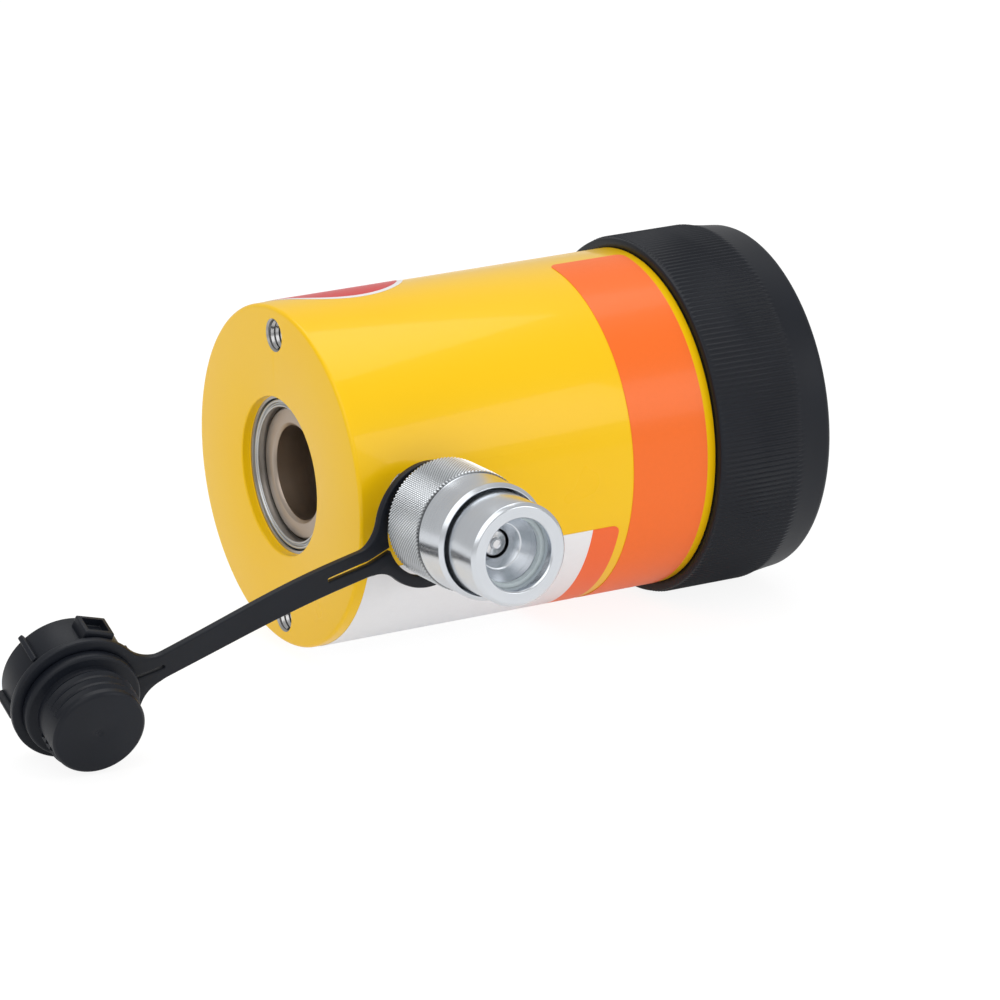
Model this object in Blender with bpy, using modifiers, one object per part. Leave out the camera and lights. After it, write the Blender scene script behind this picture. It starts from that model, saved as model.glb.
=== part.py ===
"""Hollow plunger hydraulic cylinder with spring return, lying on its side.

The plunger's axis runs along +X from the base to the saddle. The coupler half stands out of the
barrel along -Y, and its dust cap lies beside the base at the end of a moulded strap.
"""

import math

import bmesh
import bpy
from mathutils import Euler, Matrix, Quaternion, Vector

MM = 0.001
SEAT = 0.3 * MM
RUN = 0.2 * MM
AROUND = 32
AROUND_SMALL = 24
ARC_STEPS = 5

# Barrel with its base, and the threaded collar at its plunger end
BARREL_RADIUS = 49.3 * MM
BARREL_LENGTH = 152.3 * MM
BARREL_WALL = 12.7 * MM
BASE_THICKNESS = 16.0 * MM
BASE_EDGE = 1.0 * MM
COLLAR_STEP = 0.7 * MM
COLLAR_LENGTH = 37.8 * MM
RECESS_STEP = 1.3 * MM
RECESS_DEPTH = 2.75 * MM
FINE_CHAMFER = 0.4 * MM

# Two threaded mounting holes in the base, on a line through its centre
BOLT_FROM_EDGE = 8.05 * MM
BOLT_HOLE_RADIUS = 4.8 * MM
BOLT_HOLE_DEPTH = 9.7 * MM

# Centre tube, held in the base by its flange and a screwed lock ring
TUBE_WALL = 5.45 * MM
TUBE_END_DEPTH = 5.5 * MM
TUBE_END_GAP = 7.2 * MM
TUBE_FLANGE_STEP = 2.55 * MM
TUBE_FLANGE_THICKNESS = 2.7 * MM
LOCK_RING_DEPTH = 3.2 * MM
LOCK_RING_THICKNESS = 2.8 * MM
TUBE_SEAL_WIDTH = 2.4 * MM
TUBE_SEAL_HEIGHT = 1.6 * MM

# Plunger: piston head on the bore and the tube, and the stem that carries the saddle
HEAD_LENGTH = 20.0 * MM
HEAD_NOSE_CHAMFER = 4.0 * MM
STEM_WALL = 8.0 * MM
STEM_PROUD = 2.0 * MM
STEM_THREAD_STEP = 0.8 * MM
STEM_THREAD_DEPTH = 19.0 * MM
SEAL_FROM_NOSE = 7.0 * MM
SEAL_WIDTH = 4.5 * MM
OUTER_SEAL_HEIGHT = 3.2 * MM
INNER_SEAL_HEIGHT = 2.6 * MM
WEAR_RING_FROM_NOSE = 14.0 * MM
WEAR_RING_WIDTH = 3.2 * MM
WEAR_RING_HEIGHT = 1.6 * MM

# Saddle, screwed into the stem
SADDLE_STEP = 0.05 * MM
SADDLE_THICKNESS = 7.4 * MM
SADDLE_STUB_LENGTH = 17.4 * MM

# Stop ring, screwed into the barrel's mouth over the return spring
STOP_RING_STEP = 2.9 * MM
STOP_RING_LENGTH = 17.3 * MM
STOP_RING_SUNK = 0.5 * MM
STOP_RING_GAP = 0.5 * MM
SPANNER_HOLE_RADIUS = 2.4 * MM
SPANNER_HOLE_DEPTH = 6.0 * MM
BEARING_FROM_SPRING = 4.0 * MM
BEARING_WIDTH = 5.5 * MM
BEARING_HEIGHT = 1.6 * MM
WIPER_WIDTH = 3.6 * MM
WIPER_HEIGHT = 3.4 * MM
WIPER_LIP = 1.2 * MM

# Return spring between the piston head and the stop ring
SPRING_WIRE_RADIUS = 3.2 * MM
SPRING_ROOM = 9.55 * MM
SPRING_TURNS = 6.0
SPRING_DEAD_TURNS = 0.9
SPRING_POINTS_A_TURN = 14
GROUND_SHARE = 0.4

# Collar thread protector, with moulded grip ribs
PROTECTOR_WALL = 3.1 * MM
PROTECTOR_END_TAPER = 1.1 * MM
PROTECTOR_RIB_HEIGHT = 0.5 * MM
PROTECTOR_RIBS = 210
PROTECTOR_FRONT_BAND = 0.8 * MM
PROTECTOR_END_BAND = 10.2 * MM
PROTECTOR_END_ROUND = 2.0 * MM
PROTECTOR_PROUD = 0.4 * MM

# Port in the barrel's side, and the adapter screwed into it
PORT_HEIGHT = 19.0 * MM
PORT_SPOT_DEPTH = 1.1 * MM
PORT_SPOT_RADIUS = 12.0 * MM
PORT_DEPTH = 9.0 * MM
PORT_PASSAGE_RADIUS = 2.4 * MM
STUB_RADIUS = 8.4 * MM
NECK_RADIUS = 10.7 * MM
NECK_LENGTH = 12.7 * MM
SPIGOT_RADIUS = 9.2 * MM
SPIGOT_LENGTH = 7.8 * MM
ADAPTER_BORE_RADIUS = 3.2 * MM
ADAPTER_SEAL_FROM_NECK = 1.6 * MM
ADAPTER_SEAL_WIDTH = 2.2 * MM
ADAPTER_SEAL_HEIGHT = 1.3 * MM

# Coupler body with its nozzle
COUPLER_REACH = 55.7 * MM
NOZZLE_RADIUS = 14.56 * MM
NOZZLE_CHAMFER = 1.0 * MM
MOUTH_RADIUS = 10.14 * MM
MOUTH_DEPTH = 4.6 * MM
MOUTH_STEP = 0.9 * MM
NOZZLE_SEAL_HEIGHT = 1.2 * MM
NOZZLE_SEAL_WIDTH = 1.8 * MM
FUNNEL_DEPTH = 13.5 * MM
THROAT_RADIUS = 4.2 * MM
THROAT_LENGTH = 3.0 * MM
CHAMBER_RADIUS = 7.6 * MM
BODY_FLANGE_RADIUS = 15.4 * MM
BODY_FLANGE_LENGTH = 3.4 * MM
WAIST_RADIUS = 13.3 * MM

# Knurled sleeve, which turns and slides on the coupler body
SLEEVE_TRAVEL = 12.0 * MM
SLEEVE_RADIUS = 17.3 * MM
SLEEVE_BAND_RADIUS = 16.6 * MM
SLEEVE_BORE_RADIUS = 15.9 * MM
SLEEVE_LENGTH = 29.1 * MM
SLEEVE_KNURL_LENGTH = 17.4 * MM
SLEEVE_CHAMFER = 0.9 * MM
SLEEVE_RING_WIDTH = 1.5 * MM
SLEEVE_RING_HEIGHT = 2.6 * MM
SLEEVE_RING_SPLIT = 3.0 * MM

# Poppet valve, its spring and its guide
POPPET_HEAD_RADIUS = 6.6 * MM
POPPET_NOSE_RADIUS = 3.7 * MM
POPPET_PIN_RADIUS = 1.6 * MM
POPPET_PIN_PROUD = 1.1 * MM
POPPET_HEAD_THICKNESS = 2.0 * MM
POPPET_WIRE_RADIUS = 0.55 * MM
POPPET_SPRING_RADIUS = 4.9 * MM
POPPET_SPRING_TURNS = 4.5
GUIDE_THICKNESS = 2.4 * MM
GUIDE_HUB_RADIUS = 3.4 * MM
GUIDE_HUB_LENGTH = 3.2 * MM
GUIDE_HOLE_RADIUS = 1.5 * MM
GUIDE_HOLE_CIRCLE = 6.4 * MM

# Strap, moulded flat with a ring at each end, then bent and twisted as it lies
STRAP_FROM_BARREL = 7.2 * MM
STRAP_THICKNESS = 2.2 * MM
STRAP_WIDTH = 8.2 * MM
STRAP_BOW = 3.6 * MM
STRAP_REACH = 113.7 * MM
STRAP_RING_HOLE_RADIUS = 14.5 * MM
STRAP_RING_RADIUS = 18.0 * MM
STRAP_CAP_HOLE_RADIUS = 15.0 * MM
STRAP_CAP_RING_RADIUS = 19.15 * MM
STRAP_FILLET = 10.0 * MM
STRAP_SLIT_WIDTH = 1.1 * MM
STRAP_SLIT_NECK_END = 22.0 * MM
STRAP_SLIT_CAP_END = 10.0 * MM
STRAP_STATIONS = 10
STRAP_HANG_ANGLE = math.radians(36.0)
STRAP_DROP_ANGLE = math.radians(17.22)
STRAP_LEAN_ANGLE = math.radians(9.9)
CAP_DOWN_ANGLE = math.radians(19.3)
CAP_SIDE_ANGLE = math.radians(-4.65)

# Dust cap: a plug on one side of the strap and a cup with grip lugs on the other
PLUG_RADIUS = 13.9 * MM
PLUG_REACH = 16.9 * MM
CAP_FLANGE_RADIUS = 16.5 * MM
CAP_FLANGE_THICKNESS = 3.2 * MM
CUP_RADIUS = 17.1 * MM
CUP_LENGTH = 12.0 * MM
CUP_BORE_RADIUS = 15.4 * MM
CAP_WALL = 2.2 * MM
LUG_HEIGHT = 2.9 * MM
LUG_WIDTH = 9.0 * MM
LUG_LENGTH = 8.0 * MM
LUG_WALL = 1.3 * MM
LUG_ANGLE = math.radians(59.0)
FIN_FROM_LUG = math.radians(60.0)
FIN_WIDTH = 1.6 * MM
FIN_HEIGHT = 2.0 * MM

# Radii from the barrel inwards to the bore of the tube
BORE_RADIUS = BARREL_RADIUS - BARREL_WALL
BOLT_CIRCLE_RADIUS = BARREL_RADIUS - BOLT_FROM_EDGE
STOP_RING_RADIUS = BORE_RADIUS + STOP_RING_STEP
STEM_RADIUS = BORE_RADIUS - SPRING_ROOM
SADDLE_RADIUS = STEM_RADIUS - SADDLE_STEP
TUBE_RADIUS = STEM_RADIUS - STEM_WALL
STEM_THREAD_RADIUS = TUBE_RADIUS + STEM_THREAD_STEP
TUBE_FLANGE_RADIUS = TUBE_RADIUS + TUBE_FLANGE_STEP
TUBE_BORE_RADIUS = TUBE_RADIUS - TUBE_WALL
RECESS_RADIUS = TUBE_FLANGE_RADIUS + RECESS_STEP

# Radii of the collar and its protector, from the barrel outwards
COLLAR_RADIUS = BARREL_RADIUS - COLLAR_STEP
PROTECTOR_RADIUS = COLLAR_RADIUS + SEAT + PROTECTOR_WALL
PROTECTOR_END_RADIUS = PROTECTOR_RADIUS - PROTECTOR_END_TAPER

# Places along the plunger's axis, from the base face
HEAD_START = BASE_THICKNESS + SEAT
HEAD_END = HEAD_START + HEAD_LENGTH
STOP_RING_END = BARREL_LENGTH - STOP_RING_SUNK
STOP_RING_START = STOP_RING_END - STOP_RING_LENGTH
STEM_END = BARREL_LENGTH + STEM_PROUD
SADDLE_START = STEM_END + SEAT
SADDLE_END = SADDLE_START + SADDLE_THICKNESS
TUBE_END = SADDLE_START - SADDLE_STUB_LENGTH - TUBE_END_GAP
TUBE_FLANGE_START = LOCK_RING_DEPTH + LOCK_RING_THICKNESS + SEAT
TUBE_FLANGE_END = TUBE_FLANGE_START + TUBE_FLANGE_THICKNESS
PROTECTOR_START = BARREL_LENGTH - COLLAR_LENGTH + SEAT
PROTECTOR_END = BARREL_LENGTH + PROTECTOR_PROUD

# Places along the coupler's axis, from the plunger's axis
NOZZLE_FACE = BARREL_RADIUS + COUPLER_REACH
STRAP_RING_PLACE = BARREL_RADIUS + STRAP_FROM_BARREL
PORT_FACE = BARREL_RADIUS - PORT_SPOT_DEPTH
STUB_END = PORT_FACE - PORT_DEPTH + SEAT
NECK_START = PORT_FACE + SEAT
NECK_END = NECK_START + NECK_LENGTH
SPIGOT_END = NECK_END + SPIGOT_LENGTH
BODY_START = NECK_END + SEAT
BODY_FLANGE_END = BODY_START + BODY_FLANGE_LENGTH
GUIDE_START = SPIGOT_END + SEAT
GUIDE_END = GUIDE_START + GUIDE_THICKNESS
CHAMBER_START = GUIDE_END + SEAT
SLEEVE_START = BODY_START
SLEEVE_RING_START = BODY_FLANGE_END + SEAT
SLEEVE_RING_END = SLEEVE_RING_START + SLEEVE_RING_WIDTH
WAIST_END = SLEEVE_RING_END + SLEEVE_TRAVEL + SEAT
SLEEVE_RING_INNER = WAIST_RADIUS + SEAT
SLEEVE_RING_OUTER = SLEEVE_RING_INNER + SLEEVE_RING_HEIGHT
FUNNEL_END = NOZZLE_FACE - FUNNEL_DEPTH
THROAT_START = FUNNEL_END - THROAT_LENGTH
CHAMBER_END = THROAT_START - (CHAMBER_RADIUS - THROAT_RADIUS)


parts = bpy.data.collections.new("hollow_plunger_cylinder")
cutters = bpy.data.collections.new("hollow_plunger_cylinder_cutters")


def clear_scene():
    for thing in list(bpy.data.objects):
        bpy.data.objects.remove(thing, do_unlink=True)
    bpy.context.scene.collection.children.link(parts)
    bpy.context.scene.collection.children.link(cutters)
    cutters.hide_render = True


def finish(name, colour, roughness, metallic):
    made = bpy.data.materials.new(name)
    made.use_nodes = True
    shader = made.node_tree.nodes["Principled BSDF"]
    shader.inputs["Base Color"].default_value = (*colour, 1.0)
    shader.inputs["Roughness"].default_value = roughness
    shader.inputs["Metallic"].default_value = metallic
    return made


YELLOW_PAINT = ((0.93, 0.57, 0.01), 0.30, 0.0)
GROUND_STEEL = ((0.55, 0.53, 0.50), 0.28, 1.0)
CHROMED_STEEL = ((0.72, 0.73, 0.74), 0.12, 1.0)
NICKEL_TUBE = ((0.52, 0.45, 0.36), 0.30, 1.0)
ZINC_PLATE = ((0.62, 0.66, 0.70), 0.26, 1.0)
BLACK_STEEL = ((0.05, 0.05, 0.055), 0.42, 0.8)
SPRING_STEEL = ((0.20, 0.20, 0.21), 0.40, 0.9)
BLACK_PLASTIC = ((0.018, 0.020, 0.024), 0.38, 0.0)
BLACK_RUBBER = ((0.012, 0.012, 0.013), 0.60, 0.0)
BLUE_URETHANE = ((0.05, 0.16, 0.42), 0.45, 0.0)
BRONZE = ((0.50, 0.30, 0.13), 0.35, 1.0)


def axis_empty(name, parent=None, matrix=None):
    """An empty whose Z is the axis that its pieces are turned round."""
    empty = bpy.data.objects.new(name, None)
    parts.objects.link(empty)
    empty.parent = parent
    if matrix is not None:
        empty.matrix_local = matrix
    return empty


def add_piece(name, data, look, parent):
    made = bpy.data.objects.new(name, data)
    parts.objects.link(made)
    made.parent = parent
    data.materials.append(finish(name + "_finish", *look))
    return made


def add_cutter(name, data, parent):
    made = bpy.data.objects.new(name, data)
    cutters.objects.link(made)
    made.parent = parent
    made.hide_render = True
    made.display_type = "WIRE"
    return made


def mesh_from(bm, name):
    made = bpy.data.meshes.new(name)
    bmesh.ops.recalc_face_normals(bm, faces=bm.faces)
    bm.to_mesh(made)
    bm.free()
    return made


def smooth(mesh):
    mesh.shade_smooth()
    mesh.set_sharp_from_angle(angle=math.radians(30))


def boolean(target, tool, operation="DIFFERENCE"):
    made = target.modifiers.new(operation.lower() + "_" + tool.name, "BOOLEAN")
    made.operation = operation
    made.solver = "EXACT"
    made.object = tool


def chamfered(corners):
    """Outline points from (radius, place[, chamfer]) corners: a chamfered one becomes two points."""
    points = []
    for i, corner in enumerate(corners):
        here = Vector(corner[:2])
        if len(corner) == 2:
            points.append(here)
            continue
        for other in (corners[i - 1], corners[(i + 1) % len(corners)]):
            points.append(here + (Vector(other[:2]) - here).normalized() * corner[2])
    return points


def outline_mesh(name, points, closed):
    """Outline in the XZ plane, for a Screw modifier: down its outer side, then up its bore."""
    edges = [(i, i + 1) for i in range(len(points) - 1)]
    if closed:
        edges.append((len(points) - 1, 0))
    made = bpy.data.meshes.new(name)
    made.from_pydata([(p[0], 0.0, p[1]) for p in points], edges, [])
    return made


def screw(target, steps):
    turn = target.modifiers.new("turn", "SCREW")
    turn.axis = "Z"
    turn.angle = math.tau
    turn.steps = steps
    turn.render_steps = steps
    turn.use_merge_vertices = True
    turn.merge_threshold = 0.000001
    turn.use_smooth_shade = True


def turned(name, corners, look, parent, closed=True, steps=AROUND):
    made = add_piece(name, outline_mesh(name, chamfered(corners), closed), look, parent)
    screw(made, steps)
    return made


def ring(name, inner, outer, start, end, look, parent, chamfer=0.0, steps=AROUND):
    corners = [(outer, end, chamfer), (outer, start, chamfer), (inner, start, chamfer), (inner, end, chamfer)]
    if not chamfer:
        corners = [corner[:2] for corner in corners]
    return turned(name, corners, look, parent, steps=steps)


def rod_cutter(name, radius, start, end, parent, aside=(0.0, 0.0), steps=16):
    """Round cutter along the parent's axis, from start to end, this far aside of it."""
    bm = bmesh.new()
    bmesh.ops.create_cone(
        bm, cap_ends=True, segments=steps, radius1=radius, radius2=radius, depth=end - start
    )
    turn = Matrix.Rotation(math.pi / steps / 2, 3, "Z")
    bmesh.ops.rotate(bm, verts=bm.verts, cent=(0.0, 0.0, 0.0), matrix=turn)
    bmesh.ops.translate(bm, verts=bm.verts, vec=(*aside, (start + end) / 2))
    return add_cutter(name, mesh_from(bm, name), parent)


def box_cutter(name, size, centre, parent):
    bm = bmesh.new()
    bmesh.ops.create_cube(bm, size=1.0)
    bmesh.ops.scale(bm, verts=bm.verts, vec=size)
    bmesh.ops.translate(bm, verts=bm.verts, vec=centre)
    return add_cutter(name, mesh_from(bm, name), parent)


def solid_copy(source, name):
    """The evaluated object as a plain mesh with its loose caps welded, and the source removed."""
    bpy.context.view_layer.update()
    graph = bpy.context.evaluated_depsgraph_get()
    data = bpy.data.meshes.new_from_object(source.evaluated_get(graph))
    data.name = name
    bpy.data.objects.remove(source, do_unlink=True)
    bm = bmesh.new()
    bm.from_mesh(data)
    bmesh.ops.remove_doubles(bm, verts=bm.verts, dist=0.000002)
    bm.to_mesh(data)
    bm.free()
    return data


def coil(name, radius, wire, start, end, turns, dead_turns, points_a_turn, look, parent):
    """Compression spring with closed ends that are ground flat at start and end."""
    seat = wire * (1.0 - GROUND_SHARE)
    low, high = start + seat, end - seat
    closed_rise = 2.06 * wire
    live_turns = turns - 2 * dead_turns
    live_rise = (high - low - 2 * dead_turns * closed_rise) / live_turns
    count = int(turns * points_a_turn)
    data = bpy.data.curves.new(name, "CURVE")
    data.dimensions = "3D"
    data.bevel_depth = wire
    data.bevel_resolution = 2
    data.use_fill_caps = True
    line = data.splines.new("POLY")
    line.points.add(count)
    for i in range(count + 1):
        turn = turns * i / count
        live = min(max(turn - dead_turns, 0.0), live_turns)
        place = low + closed_rise * (turn - live) + live_rise * live
        angle = math.tau * turn
        line.points[i].co = (radius * math.cos(angle), radius * math.sin(angle), place, 1.0)
    source = bpy.data.objects.new(name + "_wire", data)
    parts.objects.link(source)
    mesh = solid_copy(source, name)
    bm = bmesh.new()
    bm.from_mesh(mesh)
    for place, side in ((start, -1.0), (end, 1.0)):
        bmesh.ops.bisect_plane(
            bm,
            geom=bm.verts[:] + bm.edges[:] + bm.faces[:],
            plane_co=(0.0, 0.0, place),
            plane_no=(0.0, 0.0, side),
            clear_outer=True,
        )
        open_edges = [edge for edge in bm.edges if edge.is_boundary]
        bmesh.ops.holes_fill(bm, edges=open_edges, sides=0)
    bmesh.ops.recalc_face_normals(bm, faces=bm.faces)
    bm.to_mesh(mesh)
    bm.free()
    mesh.materials.clear()
    smooth(mesh)
    return add_piece(name, mesh, look, parent)


# Barrel, with its recess, mounting holes and side port
def make_barrel(plunger_axis, coupler_axis):
    tube_hole = TUBE_RADIUS + SEAT
    recess_step = TUBE_FLANGE_RADIUS + SEAT
    seal_start = TUBE_FLANGE_END + SEAT + FINE_CHAMFER + SEAT
    seal_groove = tube_hole + TUBE_SEAL_HEIGHT + SEAT
    collar_start = BARREL_LENGTH - COLLAR_LENGTH
    mouth = STOP_RING_RADIUS + SEAT
    barrel = turned(
        "barrel",
        [
            (COLLAR_RADIUS, BARREL_LENGTH, FINE_CHAMFER),
            (COLLAR_RADIUS, collar_start),
            (BARREL_RADIUS, collar_start),
            (BARREL_RADIUS, 0.0, BASE_EDGE),
            (RECESS_RADIUS, 0.0, FINE_CHAMFER),
            (RECESS_RADIUS, RECESS_DEPTH),
            (recess_step, RECESS_DEPTH),
            (recess_step, TUBE_FLANGE_END + SEAT),
            (tube_hole, TUBE_FLANGE_END + SEAT),
            (tube_hole, seal_start),
            (seal_groove, seal_start),
            (seal_groove, seal_start + TUBE_SEAL_WIDTH + 2 * SEAT),
            (tube_hole, seal_start + TUBE_SEAL_WIDTH + 2 * SEAT),
            (tube_hole, BASE_THICKNESS),
            (BORE_RADIUS, BASE_THICKNESS),
            (BORE_RADIUS, STOP_RING_START - SEAT),
            (mouth, STOP_RING_START - SEAT),
            (mouth, BARREL_LENGTH, FINE_CHAMFER),
        ],
        YELLOW_PAINT,
        plunger_axis,
    )
    ring(
        "tube_seal", tube_hole, seal_groove - SEAT, seal_start + SEAT, seal_start + SEAT + TUBE_SEAL_WIDTH,
        BLACK_RUBBER, plunger_axis,
    )
    for side in (1, -1):
        place = (side * BOLT_CIRCLE_RADIUS, 0.0)
        name = "mounting_hole_" + ("top" if side < 0 else "bottom")
        boolean(barrel, rod_cutter(name, BOLT_HOLE_RADIUS, -SEAT, BOLT_HOLE_DEPTH, plunger_axis, place))
    above = BARREL_RADIUS + PORT_SPOT_DEPTH
    for name, radius, bottom in (
        ("port_spot_face", PORT_SPOT_RADIUS, PORT_FACE),
        ("port_thread", STUB_RADIUS + SEAT, PORT_FACE - PORT_DEPTH),
        ("port_passage", PORT_PASSAGE_RADIUS, BORE_RADIUS - PORT_SPOT_DEPTH),
    ):
        boolean(barrel, rod_cutter(name, radius, bottom, above, coupler_axis, steps=AROUND_SMALL))


# Centre tube that the plunger slides over, and the ring that locks it in the base
def make_centre_tube(plunger_axis):
    turned(
        "centre_tube",
        [
            (TUBE_RADIUS, TUBE_END, FINE_CHAMFER),
            (TUBE_RADIUS, TUBE_FLANGE_END),
            (TUBE_FLANGE_RADIUS, TUBE_FLANGE_END),
            (TUBE_FLANGE_RADIUS, TUBE_FLANGE_START),
            (TUBE_RADIUS, TUBE_FLANGE_START),
            (TUBE_RADIUS, TUBE_END_DEPTH, FINE_CHAMFER),
            (TUBE_BORE_RADIUS, TUBE_END_DEPTH, FINE_CHAMFER),
            (TUBE_BORE_RADIUS, TUBE_END),
        ],
        NICKEL_TUBE,
        plunger_axis,
    )
    ring(
        "tube_lock_ring", TUBE_RADIUS + SEAT, TUBE_FLANGE_RADIUS, LOCK_RING_DEPTH,
        LOCK_RING_DEPTH + LOCK_RING_THICKNESS, CHROMED_STEEL, plunger_axis,
    )


# Plunger with its seals, and the saddle screwed into it
def make_plunger(plunger_axis):
    head_radius = BORE_RADIUS - RUN
    head_bore = TUBE_RADIUS + RUN
    seal_start = HEAD_START + SEAL_FROM_NOSE
    seal_end = seal_start + SEAL_WIDTH + 2 * SEAT
    wear_start = HEAD_START + WEAR_RING_FROM_NOSE
    wear_end = wear_start + WEAR_RING_WIDTH + 2 * SEAT
    outer_groove = head_radius - OUTER_SEAL_HEIGHT - SEAT
    inner_groove = head_bore + INNER_SEAL_HEIGHT + SEAT
    wear_groove = head_radius - WEAR_RING_HEIGHT - SEAT
    turned(
        "plunger",
        [
            (STEM_RADIUS, STEM_END, FINE_CHAMFER),
            (STEM_RADIUS, HEAD_END),
            (head_radius, HEAD_END, FINE_CHAMFER),
            (head_radius, wear_end),
            (wear_groove, wear_end),
            (wear_groove, wear_start),
            (head_radius, wear_start),
            (head_radius, seal_end),
            (outer_groove, seal_end),
            (outer_groove, seal_start),
            (head_radius, seal_start),
            (head_radius, HEAD_START + HEAD_NOSE_CHAMFER),
            (head_radius - HEAD_NOSE_CHAMFER, HEAD_START),
            (head_bore, HEAD_START),
            (head_bore, seal_start),
            (inner_groove, seal_start),
            (inner_groove, seal_end),
            (head_bore, seal_end),
            (head_bore, STEM_END - STEM_THREAD_DEPTH),
            (STEM_THREAD_RADIUS, STEM_END - STEM_THREAD_DEPTH),
            (STEM_THREAD_RADIUS, STEM_END),
        ],
        CHROMED_STEEL,
        plunger_axis,
    )
    ring(
        "piston_outer_seal", outer_groove + SEAT, head_radius, seal_start + SEAT, seal_end - SEAT,
        BLUE_URETHANE, plunger_axis,
    )
    ring(
        "piston_inner_seal", head_bore, inner_groove - SEAT, seal_start + SEAT, seal_end - SEAT,
        BLUE_URETHANE, plunger_axis,
    )
    ring(
        "piston_bearing_ring", wear_groove + SEAT, head_radius, wear_start + SEAT, wear_end - SEAT,
        BRONZE, plunger_axis,
    )
    stub = STEM_THREAD_RADIUS - SEAT
    turned(
        "saddle",
        [
            (SADDLE_RADIUS, SADDLE_END, BASE_EDGE),
            (SADDLE_RADIUS, SADDLE_START, FINE_CHAMFER),
            (stub, SADDLE_START),
            (stub, SADDLE_START - SADDLE_STUB_LENGTH, BASE_EDGE),
            (TUBE_BORE_RADIUS, SADDLE_START - SADDLE_STUB_LENGTH),
            (TUBE_BORE_RADIUS, SADDLE_END, BASE_EDGE),
        ],
        GROUND_STEEL,
        plunger_axis,
    )


# Stop ring with its bearing ring and wiper
def make_stop_ring(plunger_axis):
    bore = STEM_RADIUS + STOP_RING_GAP
    bearing_start = STOP_RING_START + BEARING_FROM_SPRING
    bearing_end = bearing_start + BEARING_WIDTH + 2 * SEAT
    bearing_inner = STEM_RADIUS + RUN
    bearing_outer = bearing_inner + BEARING_HEIGHT
    wiper_start = STOP_RING_END - WIPER_WIDTH - SEAT
    wiper_outer = bearing_inner + WIPER_HEIGHT
    stop_ring = turned(
        "stop_ring",
        [
            (STOP_RING_RADIUS, STOP_RING_END, FINE_CHAMFER),
            (STOP_RING_RADIUS, STOP_RING_START, FINE_CHAMFER),
            (bore, STOP_RING_START),
            (bore, bearing_start),
            (bearing_outer + SEAT, bearing_start),
            (bearing_outer + SEAT, bearing_end),
            (bore, bearing_end),
            (bore, wiper_start),
            (wiper_outer + SEAT, wiper_start),
            (wiper_outer + SEAT, STOP_RING_END),
        ],
        BLACK_STEEL,
        plunger_axis,
    )
    spanner_circle = (wiper_outer + STOP_RING_RADIUS) / 2
    for side in (1, -1):
        name = "spanner_hole_" + ("front" if side < 0 else "back")
        hole = rod_cutter(
            name, SPANNER_HOLE_RADIUS, STOP_RING_END - SPANNER_HOLE_DEPTH, STOP_RING_END + SEAT,
            plunger_axis, (0.0, side * spanner_circle),
        )
        boolean(stop_ring, hole)
    ring(
        "rod_bearing_ring", bearing_inner, bearing_outer, bearing_start + SEAT, bearing_end - SEAT,
        BRONZE, plunger_axis,
    )
    turned(
        "plunger_wiper",
        [
            (wiper_outer, STOP_RING_END),
            (wiper_outer, wiper_start + SEAT),
            (bearing_inner + WIPER_LIP, wiper_start + SEAT),
            (bearing_inner + WIPER_LIP, STOP_RING_END - WIPER_LIP),
            (bearing_inner, STOP_RING_END - WIPER_LIP / 2),
            (bearing_inner + WIPER_LIP / 2, STOP_RING_END),
        ],
        BLUE_URETHANE,
        plunger_axis,
    )


# Collar thread protector: a ribbed band joined to two plain ones, bored to fit the collar
def make_protector(plunger_axis):
    inner = COLLAR_RADIUS + SEAT
    ribs_start = PROTECTOR_START + PROTECTOR_FRONT_BAND
    ribs_end = PROTECTOR_END - PROTECTOR_END_BAND
    crest = PROTECTOR_RADIUS + PROTECTOR_RIB_HEIGHT
    protector = turned(
        "thread_protector",
        [
            (PROTECTOR_END_RADIUS - PROTECTOR_END_ROUND / 2, PROTECTOR_END),
            (PROTECTOR_END_RADIUS, PROTECTOR_END - PROTECTOR_END_ROUND),
            (crest, ribs_end),
            (PROTECTOR_RADIUS - PROTECTOR_RIB_HEIGHT, ribs_end),
            (PROTECTOR_RADIUS - PROTECTOR_RIB_HEIGHT, PROTECTOR_START),
            (inner, PROTECTOR_START),
            (inner, PROTECTOR_END),
        ],
        BLACK_PLASTIC,
        plunger_axis,
    )
    step = math.tau / (2 * PROTECTOR_RIBS)
    bm = bmesh.new()
    bmesh.ops.create_circle(bm, cap_ends=True, segments=2 * PROTECTOR_RIBS, radius=PROTECTOR_RADIUS)
    for vert in bm.verts:
        angle = math.atan2(vert.co.y, vert.co.x)
        out = PROTECTOR_RADIUS + PROTECTOR_RIB_HEIGHT * (round(angle / step) % 2)
        vert.co = (out * math.cos(angle), out * math.sin(angle), ribs_start)
    grown = bmesh.ops.extrude_face_region(bm, geom=bm.faces[:])
    rim = [item for item in grown["geom"] if isinstance(item, bmesh.types.BMVert)]
    bmesh.ops.translate(bm, verts=rim, vec=(0.0, 0.0, ribs_end + SEAT - ribs_start))
    ribs = add_cutter("grip_ribs", mesh_from(bm, "grip_ribs"), plunger_axis)
    middle = (inner + PROTECTOR_RADIUS - PROTECTOR_RIB_HEIGHT) / 2
    core = rod_cutter("grip_ribs_core", middle, PROTECTOR_START, PROTECTOR_END, plunger_axis, steps=AROUND)
    boolean(ribs, core)
    boolean(protector, ribs, "UNION")


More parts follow.
